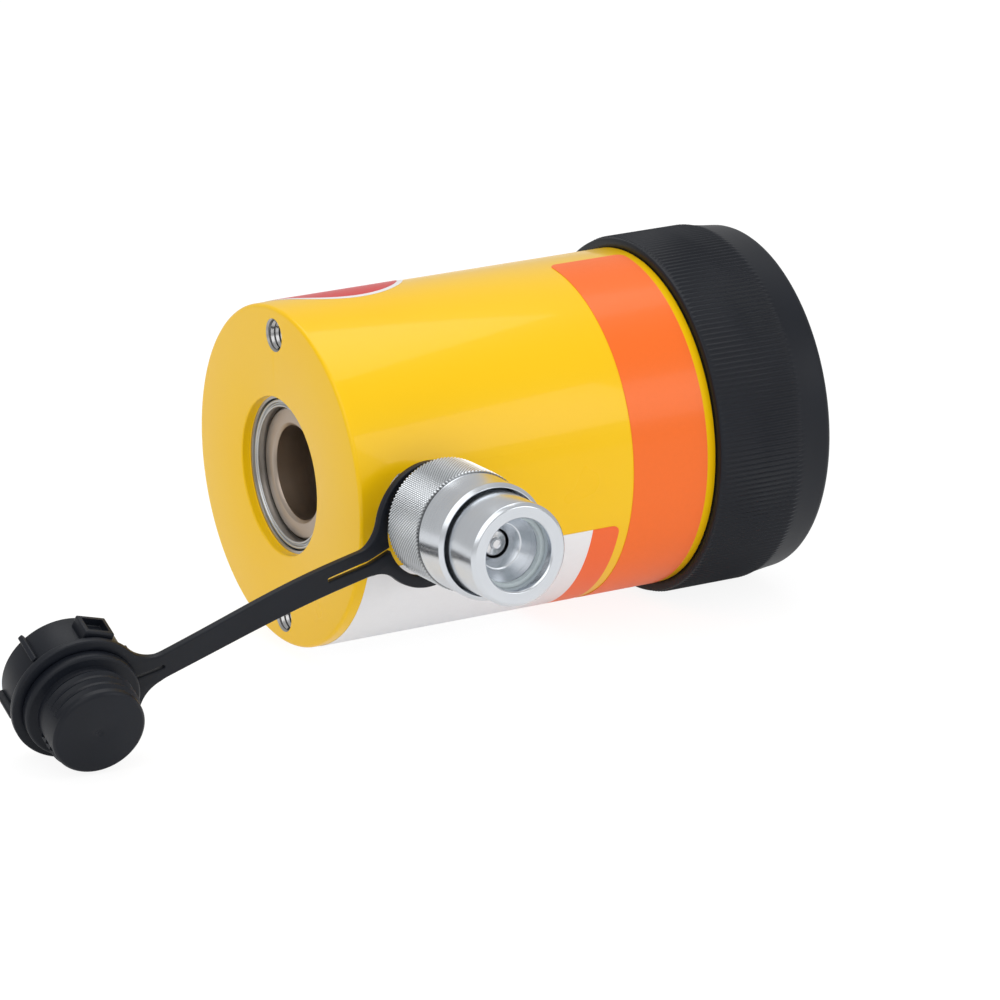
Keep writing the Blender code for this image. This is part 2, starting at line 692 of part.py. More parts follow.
# Coupler half: adapter, body with nozzle, knurled sleeve and its ring, and the seals
def make_coupler(coupler_axis):
    seal_start = NECK_END + ADAPTER_SEAL_FROM_NECK
    seal_end = seal_start + ADAPTER_SEAL_WIDTH + 2 * SEAT
    seal_groove = SPIGOT_RADIUS - ADAPTER_SEAL_HEIGHT - SEAT
    turned(
        "coupler_adapter",
        [
            (SPIGOT_RADIUS, SPIGOT_END),
            (SPIGOT_RADIUS, seal_end),
            (seal_groove, seal_end),
            (seal_groove, seal_start),
            (SPIGOT_RADIUS, seal_start),
            (SPIGOT_RADIUS, NECK_END),
            (NECK_RADIUS, NECK_END),
            (NECK_RADIUS, NECK_START),
            (STUB_RADIUS, NECK_START),
            (STUB_RADIUS, STUB_END, FINE_CHAMFER),
            (ADAPTER_BORE_RADIUS, STUB_END),
            (ADAPTER_BORE_RADIUS, SPIGOT_END),
        ],
        ZINC_PLATE,
        coupler_axis,
        steps=AROUND_SMALL,
    )
    ring(
        "adapter_seal", seal_groove + SEAT, SPIGOT_RADIUS, seal_start + SEAT, seal_end - SEAT,
        BLACK_RUBBER, coupler_axis, steps=AROUND_SMALL,
    )
    step_radius = MOUTH_RADIUS - MOUTH_STEP
    seal_groove_start = NOZZLE_FACE - MOUTH_DEPTH - NOZZLE_SEAL_WIDTH - 2 * SEAT
    seal_groove_radius = step_radius + NOZZLE_SEAL_HEIGHT + SEAT
    turned(
        "coupler_body",
        [
            (NOZZLE_RADIUS, NOZZLE_FACE, NOZZLE_CHAMFER),
            (NOZZLE_RADIUS, WAIST_END),
            (WAIST_RADIUS, WAIST_END),
            (WAIST_RADIUS, BODY_FLANGE_END),
            (BODY_FLANGE_RADIUS, BODY_FLANGE_END),
            (BODY_FLANGE_RADIUS, BODY_START),
            (SPIGOT_RADIUS + SEAT, BODY_START),
            (SPIGOT_RADIUS + SEAT, CHAMBER_START),
            (CHAMBER_RADIUS, CHAMBER_START),
            (CHAMBER_RADIUS, CHAMBER_END),
            (THROAT_RADIUS, THROAT_START),
            (THROAT_RADIUS, FUNNEL_END),
            (step_radius, seal_groove_start - SEAT),
            (step_radius, seal_groove_start),
            (seal_groove_radius, seal_groove_start),
            (seal_groove_radius, NOZZLE_FACE - MOUTH_DEPTH),
            (MOUTH_RADIUS, NOZZLE_FACE - MOUTH_DEPTH),
            (MOUTH_RADIUS, NOZZLE_FACE, FINE_CHAMFER),
        ],
        ZINC_PLATE,
        coupler_axis,
        steps=AROUND_SMALL,
    )
    ring(
        "nozzle_seal", step_radius, seal_groove_radius - SEAT, seal_groove_start + SEAT,
        NOZZLE_FACE - MOUTH_DEPTH - SEAT, BLACK_RUBBER, coupler_axis, steps=AROUND_SMALL,
    )
    sleeve_end = SLEEVE_START + SLEEVE_LENGTH
    knurl_end = SLEEVE_START + SLEEVE_KNURL_LENGTH
    ring_groove = SLEEVE_RING_OUTER + SEAT
    groove_start = SLEEVE_RING_START - SEAT
    groove_end = SLEEVE_RING_END + SEAT
    turned(
        "coupler_sleeve",
        [
            (SLEEVE_BAND_RADIUS, sleeve_end, SLEEVE_CHAMFER),
            (SLEEVE_BAND_RADIUS, knurl_end),
            (SLEEVE_RADIUS, knurl_end, FINE_CHAMFER),
            (SLEEVE_RADIUS, SLEEVE_START, FINE_CHAMFER),
            (SLEEVE_BORE_RADIUS, SLEEVE_START),
            (SLEEVE_BORE_RADIUS, groove_start),
            (ring_groove, groove_start),
            (ring_groove, groove_end),
            (SLEEVE_BORE_RADIUS, groove_end),
            (SLEEVE_BORE_RADIUS, sleeve_end),
        ],
        ZINC_PLATE,
        coupler_axis,
        steps=AROUND_SMALL,
    )
    sleeve_ring = ring(
        "sleeve_ring", SLEEVE_RING_INNER, SLEEVE_RING_OUTER, SLEEVE_RING_START, SLEEVE_RING_END,
        SPRING_STEEL, coupler_axis, steps=AROUND_SMALL,
    )
    split = box_cutter(
        "sleeve_ring_split",
        (2 * SLEEVE_RING_HEIGHT + WAIST_RADIUS, SLEEVE_RING_SPLIT, 3 * SLEEVE_RING_WIDTH),
        (SLEEVE_RING_OUTER, 0.0, (SLEEVE_RING_START + SLEEVE_RING_END) / 2),
        coupler_axis,
    )
    boolean(sleeve_ring, split)


# Poppet valve in the coupler body, closed by a spring that stands on a drilled guide
def make_poppet(coupler_axis):
    head_start = CHAMBER_END - POPPET_HEAD_THICKNESS
    nose_start = CHAMBER_END + POPPET_HEAD_RADIUS - POPPET_NOSE_RADIUS - SEAT
    hub_hole = POPPET_PIN_RADIUS + RUN
    turned(
        "poppet_valve",
        [
            (0.0, FUNNEL_END + POPPET_PIN_PROUD),
            (POPPET_PIN_RADIUS, FUNNEL_END + POPPET_PIN_PROUD),
            (POPPET_PIN_RADIUS, FUNNEL_END - SEAT),
            (POPPET_NOSE_RADIUS, FUNNEL_END - SEAT),
            (POPPET_NOSE_RADIUS, nose_start),
            (POPPET_HEAD_RADIUS, CHAMBER_END - SEAT),
            (POPPET_HEAD_RADIUS, head_start),
            (POPPET_PIN_RADIUS, head_start),
            (POPPET_PIN_RADIUS, GUIDE_START),
            (0.0, GUIDE_START),
        ],
        GROUND_STEEL,
        coupler_axis,
        closed=False,
        steps=AROUND_SMALL // 2,
    )
    guide = turned(
        "poppet_guide",
        [
            (GUIDE_HUB_RADIUS, GUIDE_END + GUIDE_HUB_LENGTH),
            (GUIDE_HUB_RADIUS, GUIDE_END),
            (SPIGOT_RADIUS, GUIDE_END),
            (SPIGOT_RADIUS, GUIDE_START),
            (hub_hole, GUIDE_START),
            (hub_hole, GUIDE_END + GUIDE_HUB_LENGTH),
        ],
        BRONZE,
        coupler_axis,
        steps=AROUND_SMALL,
    )
    for i in range(3):
        angle = math.tau * i / 3
        place = (GUIDE_HOLE_CIRCLE * math.cos(angle), GUIDE_HOLE_CIRCLE * math.sin(angle))
        hole = rod_cutter(
            f"guide_flow_hole_{i + 1}", GUIDE_HOLE_RADIUS, GUIDE_START - SEAT, GUIDE_END + SEAT,
            coupler_axis, place, steps=10,
        )
        boolean(guide, hole)
    coil(
        "poppet_spring", POPPET_SPRING_RADIUS, POPPET_WIRE_RADIUS, GUIDE_END + SEAT, head_start - SEAT,
        POPPET_SPRING_TURNS, 0.8, 12, SPRING_STEEL, coupler_axis,
    )


def arc(centre, radius, start, end, steps=ARC_STEPS):
    """Points on a circle, from one angle to another."""
    return [
        (
            centre[0] + radius * math.cos(start + (end - start) * i / steps),
            centre[1] + radius * math.sin(start + (end - start) * i / steps),
        )
        for i in range(steps + 1)
    ]


def strap_end_outline(radius, fillet, steps):
    """Half of a strap end, above its middle line: round the ring from its far side, then the fillet."""
    half = STRAP_WIDTH / 2
    fillet_x = math.sqrt((radius + fillet) ** 2 - (half + fillet) ** 2)
    touch = math.atan2(half + fillet, fillet_x)
    return arc((0.0, 0.0), radius, math.pi, touch, steps) + arc(
        (fillet_x, half + fillet), fillet, touch - math.pi, -math.pi / 2
    )


def strap_hole(radius, slit_length, side, steps=20):
    """Ring hole with the slit that lets the ring stretch, pointing along the strap."""
    half = STRAP_SLIT_WIDTH / 2
    mouth = math.asin(half / radius)
    tip = radius + slit_length
    points = arc((0.0, 0.0), radius, mouth, math.tau - mouth, steps)
    points += [(tip, -half / 2), (tip, half / 2)]
    return [(side * x, y) for x, y in points]


def strap_frame(along, start_turn, end_turn):
    """Centre and turn of the strap at a distance along it: flat by each ring, bent and twisted between."""
    bend_start = STRAP_RING_RADIUS + STRAP_WIDTH / 2
    bend_end = STRAP_REACH - STRAP_CAP_RING_RADIUS - STRAP_WIDTH / 2
    reach = min(max(along, bend_start), bend_end)
    steps = 32
    centre = start_turn @ Vector((min(along, bend_start), 0.0, 0.0))
    turn = start_turn
    for i in range(steps):
        share = (reach - bend_start) / (bend_end - bend_start) * (i + 0.5) / steps
        turn = start_turn.slerp(end_turn, share * share * (3 - 2 * share))
        centre += turn @ Vector(((reach - bend_start) / steps, 0.0, 0.0))
    share = (reach - bend_start) / (bend_end - bend_start)
    turn = start_turn.slerp(end_turn, share * share * (3 - 2 * share))
    bow = STRAP_BOW * math.sin(math.pi * share)
    centre += turn @ Vector((max(along - bend_end, 0.0), -bow, 0.0))
    return centre, turn


# Moulded strap from the coupler's neck to the dust cap
def make_strap(strap_axis, start_turn, end_turn):
    near = strap_end_outline(STRAP_RING_RADIUS, STRAP_FILLET, 10)
    far = [(STRAP_REACH - x, y) for x, y in strap_end_outline(STRAP_CAP_RING_RADIUS, STRAP_FILLET, 10)]
    upper = near + far[::-1]
    outside = upper + [(x, -y) for x, y in upper[-2:0:-1]]
    cap_hole = strap_hole(STRAP_CAP_HOLE_RADIUS, STRAP_SLIT_CAP_END, -1)
    splines = (
        outside,
        strap_hole(STRAP_RING_HOLE_RADIUS, STRAP_SLIT_NECK_END, 1),
        [(STRAP_REACH + x, y) for x, y in cap_hole],
    )
    data = bpy.data.curves.new("cap_strap", "CURVE")
    data.dimensions = "2D"
    data.fill_mode = "BOTH"
    data.extrude = STRAP_THICKNESS / 2
    for points in splines:
        line = data.splines.new("POLY")
        line.points.add(len(points) - 1)
        for point, (x, y) in zip(line.points, points):
            point.co = (x, y, 0.0, 1.0)
        line.use_cyclic_u = True
    source = bpy.data.objects.new("cap_strap_outline", data)
    parts.objects.link(source)
    mesh = solid_copy(source, "cap_strap")
    bm = bmesh.new()
    bm.from_mesh(mesh)
    first = STRAP_RING_RADIUS + STRAP_WIDTH / 2
    last = STRAP_REACH - STRAP_CAP_RING_RADIUS - STRAP_WIDTH / 2
    for i in range(STRAP_STATIONS + 1):
        bmesh.ops.bisect_plane(
            bm,
            geom=bm.verts[:] + bm.edges[:] + bm.faces[:],
            plane_co=(first + (last - first) * i / STRAP_STATIONS, 0.0, 0.0),
            plane_no=(1.0, 0.0, 0.0),
        )
    bmesh.ops.triangulate(bm, faces=bm.faces)
    for vert in bm.verts:
        centre, turn = strap_frame(vert.co.x, start_turn, end_turn)
        vert.co = centre + turn @ Vector((0.0, vert.co.y, vert.co.z))
    sag = STRAP_RING_HOLE_RADIUS - NECK_RADIUS - SEAT
    ring_centre = Vector(
        (PORT_HEIGHT - sag * math.sin(STRAP_HANG_ANGLE), -STRAP_RING_PLACE, -sag * math.cos(STRAP_HANG_ANGLE))
    )
    placed = Matrix.Translation(ring_centre)
    bmesh.ops.transform(bm, matrix=strap_axis.matrix_basis.inverted() @ placed, verts=bm.verts)
    bm.to_mesh(mesh)
    bm.free()
    mesh.materials.clear()
    add_piece("cap_strap", mesh, BLACK_PLASTIC, strap_axis)
    centre, turn = strap_frame(STRAP_REACH, start_turn, end_turn)
    return placed @ Matrix.Translation(centre) @ turn.to_matrix().to_4x4()


# Dust cap, turned, with two hollow grip lugs and four fins on its cup
def make_dust_cap(cap_axis):
    half = STRAP_THICKNESS / 2 + SEAT
    hub = STRAP_CAP_HOLE_RADIUS - SEAT
    flange_end = half + CAP_FLANGE_THICKNESS
    cup_end = -half - CUP_LENGTH
    core = PLUG_RADIUS - CAP_WALL
    cap = turned(
        "dust_cap",
        [
            (0.0, PLUG_REACH),
            (PLUG_RADIUS - FINE_CHAMFER, PLUG_REACH),
            (PLUG_RADIUS, PLUG_REACH - FINE_CHAMFER),
            (PLUG_RADIUS, flange_end),
            (CAP_FLANGE_RADIUS - FINE_CHAMFER, flange_end),
            (CAP_FLANGE_RADIUS, flange_end - FINE_CHAMFER),
            (CAP_FLANGE_RADIUS, half),
            (hub, half),
            (hub, -half),
            (CUP_RADIUS, -half),
            (CUP_RADIUS, cup_end),
            (CUP_BORE_RADIUS, cup_end),
            (CUP_BORE_RADIUS, -half - CAP_WALL),
            (core, -half - CAP_WALL),
            (core, PLUG_REACH - CAP_WALL),
            (0.0, PLUG_REACH - CAP_WALL),
        ],
        BLACK_PLASTIC,
        cap_axis,
        closed=False,
        steps=AROUND_SMALL + 4,
    )
    lug_middle = -half - LUG_LENGTH / 2 - FINE_CHAMFER
    root = (CUP_RADIUS + CUP_BORE_RADIUS) / 2
    for i in range(2):
        side = Matrix.Rotation(math.pi * i + LUG_ANGLE, 4, "Z")
        lug = box_cutter(
            f"cap_lug_{i + 1}", (CUP_RADIUS + LUG_HEIGHT - root, LUG_WIDTH, LUG_LENGTH),
            ((CUP_RADIUS + LUG_HEIGHT + root) / 2, 0.0, lug_middle), cap_axis,
        )
        lug.data.transform(side)
        boolean(cap, lug, "UNION")
        pocket = box_cutter(
            f"cap_lug_pocket_{i + 1}", (2 * LUG_HEIGHT, LUG_WIDTH - 2 * LUG_WALL, LUG_LENGTH - 2 * LUG_WALL),
            (CUP_RADIUS + LUG_WALL / 2 + LUG_HEIGHT, 0.0, lug_middle), cap_axis,
        )
        pocket.data.transform(side)
        boolean(cap, pocket)
        for way in (1, -1):
            fin = box_cutter(
                f"cap_fin_{2 * i + (way + 3) // 2}",
                (CUP_RADIUS + FIN_HEIGHT - root, FIN_WIDTH, CUP_LENGTH - 2 * FINE_CHAMFER),
                ((CUP_RADIUS + FIN_HEIGHT + root) / 2, 0.0, -half - CUP_LENGTH / 2),
                cap_axis,
            )
            fin.data.transform(side @ Matrix.Rotation(way * FIN_FROM_LUG, 4, "Z"))
            boolean(cap, fin, "UNION")


def centre_on_floor(root):
    """Moves everything so that the origin lies under the middle of the whole, on the floor."""
    bpy.context.view_layer.update()
    graph = bpy.context.evaluated_depsgraph_get()
    low = Vector((math.inf,) * 3)
    high = Vector((-math.inf,) * 3)
    for thing in parts.objects:
        if thing.type == "EMPTY":
            continue
        evaluated = thing.evaluated_get(graph)
        mesh = evaluated.to_mesh()
        for vert in mesh.vertices:
            place = evaluated.matrix_world @ vert.co
            low = Vector(map(min, low, place))
            high = Vector(map(max, high, place))
        evaluated.to_mesh_clear()
    root.location = (-(low.x + high.x) / 2, -(low.y + high.y) / 2, -low.z)


def build():
    clear_scene()
    root = axis_empty("cylinder_origin")
    plunger_axis = axis_empty("plunger_axis", root, Matrix.Rotation(math.pi / 2, 4, "Y"))
    port = Matrix.Translation((PORT_HEIGHT, 0.0, 0.0)) @ Matrix.Rotation(math.pi / 2, 4, "X")
    coupler_axis = axis_empty("coupler_axis", root, port)
    strap_axis = axis_empty("strap_axis", root, port)

    make_barrel(plunger_axis, coupler_axis)
    make_centre_tube(plunger_axis)
    make_plunger(plunger_axis)
    make_stop_ring(plunger_axis)
    spring_radius = (STEM_RADIUS + BORE_RADIUS) / 2
    coil(
        "return_spring", spring_radius, SPRING_WIRE_RADIUS, HEAD_END + SEAT, STOP_RING_START - SEAT,
        SPRING_TURNS, SPRING_DEAD_TURNS, SPRING_POINTS_A_TURN, SPRING_STEEL, plunger_axis,
    )
    make_protector(plunger_axis)
    make_coupler(coupler_axis)
    make_poppet(coupler_axis)

    lie = Quaternion((0.0, 0.0, 1.0), STRAP_LEAN_ANGLE)
    along = lie @ Vector((-math.cos(STRAP_DROP_ANGLE), 0.0, -math.sin(STRAP_DROP_ANGLE)))
    facing = lie @ Vector((0.0, -1.0, 0.0))
    start_turn = Matrix((along, facing.cross(along), facing)).transposed().to_quaternion()
    cap_facing = Euler((CAP_DOWN_ANGLE, 0.0, CAP_SIDE_ANGLE)).to_matrix() @ Vector((0.0, -1.0, 0.0))
    end_turn = facing.rotation_difference(cap_facing) @ start_turn
    cap_place = make_strap(strap_axis, start_turn, end_turn)
    cap_axis = axis_empty("cap_axis", strap_axis, strap_axis.matrix_basis.inverted() @ cap_place)
    make_dust_cap(cap_axis)

    for thing in parts.objects:
        if thing.type == "MESH" and thing.data.polygons:
            smooth(thing.data)
    centre_on_floor(root)


build()
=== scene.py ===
"""Looks of the hollow plunger cylinder: painted barrel, plated coupler and moulded black plastics."""

import math

import bmesh
import bpy
from mathutils import Euler, Matrix, Quaternion, Vector


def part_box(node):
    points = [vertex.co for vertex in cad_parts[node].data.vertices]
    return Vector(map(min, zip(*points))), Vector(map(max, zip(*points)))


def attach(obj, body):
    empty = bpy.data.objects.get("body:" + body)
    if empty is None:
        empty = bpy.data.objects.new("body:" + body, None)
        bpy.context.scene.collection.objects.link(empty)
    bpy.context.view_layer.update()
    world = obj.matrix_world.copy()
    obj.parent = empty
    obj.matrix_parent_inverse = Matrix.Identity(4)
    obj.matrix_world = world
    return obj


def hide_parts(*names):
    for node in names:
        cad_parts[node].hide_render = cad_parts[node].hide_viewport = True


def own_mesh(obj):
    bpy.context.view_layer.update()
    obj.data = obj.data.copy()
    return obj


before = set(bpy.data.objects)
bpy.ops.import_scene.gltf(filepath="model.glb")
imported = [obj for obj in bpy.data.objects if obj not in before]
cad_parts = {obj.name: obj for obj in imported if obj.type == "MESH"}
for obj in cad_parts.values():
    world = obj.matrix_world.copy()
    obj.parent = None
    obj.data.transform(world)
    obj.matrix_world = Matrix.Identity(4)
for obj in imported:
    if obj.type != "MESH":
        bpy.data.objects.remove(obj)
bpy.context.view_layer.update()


# Barrel. Turned from a solid bar with its base, bored for the piston and threaded over its mouth,
# then sprayed with thick gloss yellow enamel. The recess floor, the bore, the mounting holes and
# the collar are masked, so they stay bare steel.
MM = 0.001
SEAT = 0.3
BARREL_RADIUS = 49.3
BARREL_LENGTH = 152.3
BASE_THICKNESS = 16.0
COLLAR_RADIUS = 48.6
COLLAR_START = 114.5
RECESS_RADIUS = 22.9
RECESS_DEPTH = 2.75
LOCK_SEAT_RADIUS = 21.9
TUBE_HOLE_RADIUS = 19.35
FLANGE_SEAT_DEPTH = 9.3
BORE_RADIUS = 36.6
MOUTH_RADIUS = 39.8
MOUTH_START = 134.2
BOLT_CIRCLE_RADIUS = 41.25
BOLT_HOLE_RADIUS = 4.8
BOLT_HOLE_DEPTH = 9.7
THREAD_HEIGHT = 0.5
PORT_HEIGHT = 19.0
PORT_FACE = 48.2
PORT_SPOT_RADIUS = 12.0
PORT_THREAD_RADIUS = 8.7
YELLOW = (1.0, 0.58, 0.0)
YELLOW_LIGHTER = (1.0, 0.62, 0.004)
BARE_STEEL = (0.42, 0.42, 0.42)

low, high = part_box("barrel")
base_middle = Vector((low.x, (low.y + high.y) / 2, (low.z + high.z) / 2))
on_plunger_axis = Matrix.Translation(base_middle) @ Matrix.Rotation(math.pi / 2, 4, "Y")
on_coupler_axis = (
    Matrix.Translation(base_middle + Vector((PORT_HEIGHT * MM, 0.0, 0.0)))
    @ Matrix.Rotation(math.pi / 2, 4, "X")
)


class Shade:
    """A shader socket. Arithmetic on it adds Math nodes, and node() adds any other kind."""

    def __init__(self, tree, socket=None):
        self.tree = tree
        self.socket = socket

    def node(self, kind, settings, values, output=0):
        made = self.tree.nodes.new("ShaderNode" + kind)
        for name, value in settings.items():
            setattr(made, name, value)
        for name, value in values.items():
            if isinstance(value, Shade):
                self.tree.links.new(value.socket, made.inputs[name])
            else:
                made.inputs[name].default_value = value
        return Shade(self.tree, made.outputs[output])

    def maths(self, operation, *values):
        return self.node("Math", {"operation": operation}, dict(enumerate(values)))

    def __add__(self, other):
        return self.maths("ADD", self, other)

    def __sub__(self, other):
        return self.maths("SUBTRACT", self, other)

    def __mul__(self, other):
        return self.maths("MULTIPLY", self, other)

    def __truediv__(self, other):
        return self.maths("DIVIDE", self, other)

    __radd__ = __add__
    __rmul__ = __mul__

    def place(self, centre=(0, 0, 0), scale=(1, 1, 1)):
        """The surface's own point, measured from this centre and stretched by this scale."""
        point = self.node("TexCoord", {}, {}, "Object")
        moved = self.node("VectorMath", {"operation": "SUBTRACT"}, {0: point, 1: tuple(centre)})
        return self.node("VectorMath", {"operation": "MULTIPLY"}, {0: moved, 1: scale})

    def noise(self, where, scale, detail=2.0, roughness=0.5):
        return self.node(
            "TexNoise", {}, {"Vector": where, "Scale": scale, "Detail": detail, "Roughness": roughness}
        )

    def blend(self, share, first, second):
        """Mixes two colours by this share."""
        colours = {
            6 + i: value if isinstance(value, Shade) else (*value, 1.0)
            for i, value in enumerate((first, second))
        }
        return self.node("Mix", {"data_type": "RGBA"}, {0: share, **colours}, 2)

    def bumps(self, height, distance, strength=1.0):
        return self.node("Bump", {}, {"Height": height, "Distance": distance, "Strength": strength})


def new_finish(name, constants):
    """A material with these values on its shader; returns it, its wrapped tree and its shader's inputs."""
    made = bpy.data.materials.new(name)
    made.use_nodes = True
    shader = made.node_tree.nodes["Principled BSDF"]
    for socket, value in constants.items():
        shader.inputs[socket].default_value = value
    return made, Shade(made.node_tree), shader.inputs


def connect(tree, inputs, values):
    for socket, value in values.items():
        tree.tree.links.new(value.socket, inputs[socket])


def turned(outline, steps=160, closed=True):
    """Turns an outline, given in millimetres as (radius, place along the axis), round Z."""
    bm = bmesh.new()
    corners = [bm.verts.new((radius * MM, 0.0, along * MM)) for radius, along in outline]
    last = 0 if closed else len(corners)
    for pair in zip(corners, corners[1:] + corners[:1] if last == 0 else corners[1:]):
        bm.edges.new(pair)
    bmesh.ops.spin(
        bm, geom=bm.verts[:] + bm.edges[:], cent=(0, 0, 0), axis=(0, 0, 1), angle=math.tau,
        steps=steps, use_merge=True,
    )
    bmesh.ops.remove_doubles(bm, verts=bm.verts, dist=0.0005 * MM)
    bmesh.ops.recalc_face_normals(bm, faces=bm.faces)
    return bm


def round_edges(bm, width, segments=3, at=None, sharper=25.0):
    """Rounds every sharp edge, or only the ring of edges at one (radius, place)."""
    sharp = [
        edge
        for edge in bm.edges
        if len(edge.link_faces) == 2 and edge.calc_face_angle() > math.radians(sharper)
    ]
    if at:
        sharp = [
            edge
            for edge in sharp
            if all(
                abs(vert.co.xy.length / MM - at[0]) < 0.01 and abs(vert.co.z / MM - at[1]) < 0.01
                for vert in edge.verts
            )
        ]
    bmesh.ops.bevel(
        bm, geom=sharp, offset=width * MM, offset_type="OFFSET", segments=segments, profile=0.5,
        affect="EDGES", clamp_overlap=True, material=-1,
    )


def set_down(name, bm, place, finishes, body, nodes=(), sharper=32.0):
    """Puts the finished mesh in its place, dresses it and fixes it to its body."""
    bmesh.ops.transform(bm, matrix=place, verts=bm.verts)
    mesh = bpy.data.meshes.new(name)
    bm.to_mesh(mesh)
    bm.free()
    for finish in finishes:
        mesh.materials.append(finish)
    mesh.shade_smooth()
    mesh.set_sharp_from_angle(angle=math.radians(sharper))
    piece = bpy.data.objects.new(name, mesh)
    bpy.context.scene.collection.objects.link(piece)
    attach(piece, body)
    if nodes:
        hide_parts(*nodes)
    return piece


def cut_away(piece, cutters):
    """Cuts closed meshes, already in place, out of a piece, and leaves a plain mesh."""
    tools = []
    for i, bm in enumerate(cutters):
        mesh = bpy.data.meshes.new(f"{piece.name}_cutter_{i}")
        bm.to_mesh(mesh)
        bm.free()
        for finish in piece.data.materials:
            mesh.materials.append(finish)
        tool = bpy.data.objects.new(mesh.name, mesh)
        bpy.context.scene.collection.objects.link(tool)
        cut = piece.modifiers.new(mesh.name, "BOOLEAN")
        cut.operation = "DIFFERENCE"
        cut.solver = "EXACT"
        cut.object = tool
        tools.append(tool)
    bpy.context.view_layer.update()
    graph = bpy.context.evaluated_depsgraph_get()
    mesh = bpy.data.meshes.new_from_object(piece.evaluated_get(graph))
    piece.modifiers.clear()
    piece.data = mesh
    mesh.name = piece.name
    mesh.set_sharp_from_angle(angle=math.radians(32.0))
    for tool in tools:
        bpy.data.objects.remove(tool, do_unlink=True)


def drill(radius, start, end, place, aside=(0.0, 0.0), chamfer=0.0, steps=48):
    """A closed cutter like a drilled hole with a countersunk mouth at its start."""
    bm = turned(
        [
            (0.0, start),
            (radius + chamfer, start),
            (radius + chamfer, start + SEAT),
            (radius, start + SEAT + chamfer),
            (radius, end),
            (0.0, end),
        ],
        steps,
        closed=False,
    )
    for face in bm.faces:
        face.material_index = 1
    bmesh.ops.translate(bm, verts=bm.verts, vec=(aside[0] * MM, aside[1] * MM, 0.0))
    bmesh.ops.transform(bm, matrix=place, verts=bm.verts)
    return bm


paint, tree, inputs = new_finish(
    "yellow_enamel",
    {"Coat Weight": 0.25, "Coat Roughness": 0.06, "Coat IOR": 1.5, "IOR": 1.5, "Specular IOR Level": 0.2},
)
clouds = tree.noise(tree.place(), 26.0, 3.0)
peel = tree.noise(tree.place(), 620.0, 1.0)
ripple = tree.noise(tree.place(), 150.0, 1.0)
connect(
    tree,
    inputs,
    {
        "Base Color": tree.blend(clouds, YELLOW, YELLOW_LIGHTER),
        "Roughness": 0.24 + 0.10 * clouds,
        "Normal": tree.bumps(peel * 0.6 + ripple, 0.03 * MM, 0.5),
    },
)


def machined(name, colour, centre, axis, marks=1800.0, roughness=0.24, depth=0.004):
    """Metal with the fine rings that a lathe leaves round an axis through this centre."""
    made, tree, inputs = new_finish(name, {"Metallic": 1.0})
    point = tree.place(centre)
    across = tree.node("VectorMath", {"operation": "MULTIPLY"}, {0: point, 1: tuple(1 - a for a in axis)})
    radius = tree.node("VectorMath", {"operation": "LENGTH"}, {0: across}, 1)
    along = tree.node("VectorMath", {"operation": "DOT_PRODUCT"}, {0: point, 1: axis}, 1)
    rings = tree.node("CombineXYZ", {}, {"X": radius * marks, "Y": along * marks, "Z": 0.0})
    fine = tree.noise(rings, 1.0, 3.0, 0.7)
    stain = tree.noise(tree.place(), 90.0, 4.0)
    darker = tuple(0.86 * c for c in colour)
    lighter = tuple(min(1.12 * c, 1.0) for c in colour)
    connect(
        tree,
        inputs,
        {
            "Base Color": tree.blend(stain * 0.5 + fine * 0.5, darker, lighter),
            "Roughness": roughness * 0.7 + roughness * 0.6 * fine,
            "Normal": tree.bumps(fine, depth * MM, 0.6),
        },
    )
    return made


bare_steel = machined("bare_steel", BARE_STEEL, base_middle, (1, 0, 0), roughness=0.3)

bm = turned(
    [
        (COLLAR_RADIUS, BARREL_LENGTH),
        (COLLAR_RADIUS, COLLAR_START),
        (BARREL_RADIUS, COLLAR_START),
        (BARREL_RADIUS, 0.0),
        (RECESS_RADIUS, 0.0),
        (RECESS_RADIUS, RECESS_DEPTH),
        (LOCK_SEAT_RADIUS, RECESS_DEPTH),
        (LOCK_SEAT_RADIUS, FLANGE_SEAT_DEPTH),
        (TUBE_HOLE_RADIUS, FLANGE_SEAT_DEPTH),
        (TUBE_HOLE_RADIUS, BASE_THICKNESS),
        (BORE_RADIUS, BASE_THICKNESS),
        (BORE_RADIUS, MOUTH_START),
        (MOUTH_RADIUS, MOUTH_START),
        (MOUTH_RADIUS, BARREL_LENGTH),
    ],
    224,
)
round_edges(bm, 1.1, 5, at=(BARREL_RADIUS, 0.0))
round_edges(bm, 0.5, 4, at=(RECESS_RADIUS, 0.0))
round_edges(bm, 0.15, 2, sharper=60.0)
for face in bm.faces:
    middle = face.calc_center_median() / MM
    inside = middle.xy.length < RECESS_RADIUS - 0.2 or (middle.xy.length < 45.0 and middle.z > 4.0)
    face.material_index = 1 if inside or middle.z > COLLAR_START + 0.2 else 0
barrel = set_down(
    "barrel_shell", bm, on_plunger_axis, (paint, bare_steel), "cylinder", ["barrel"]
)
holes = [
    drill(
        BOLT_HOLE_RADIUS - THREAD_HEIGHT, -SEAT, BOLT_HOLE_DEPTH, on_plunger_axis,
        (side * BOLT_CIRCLE_RADIUS, 0.0), THREAD_HEIGHT,
    )
    for side in (-1, 1)
]
holes += [
    drill(PORT_SPOT_RADIUS, PORT_FACE, PORT_FACE + 4.0, on_coupler_axis, steps=96),
    drill(PORT_THREAD_RADIUS, PORT_FACE - 9.0, PORT_FACE + 4.0, on_coupler_axis, steps=96),
]
cut_away(barrel, holes)


# Mounting threads. Each tapped hole in the base shows the bright flanks of its coarse thread
# behind a small countersink, free of paint.
THREAD_PITCH = 1.5


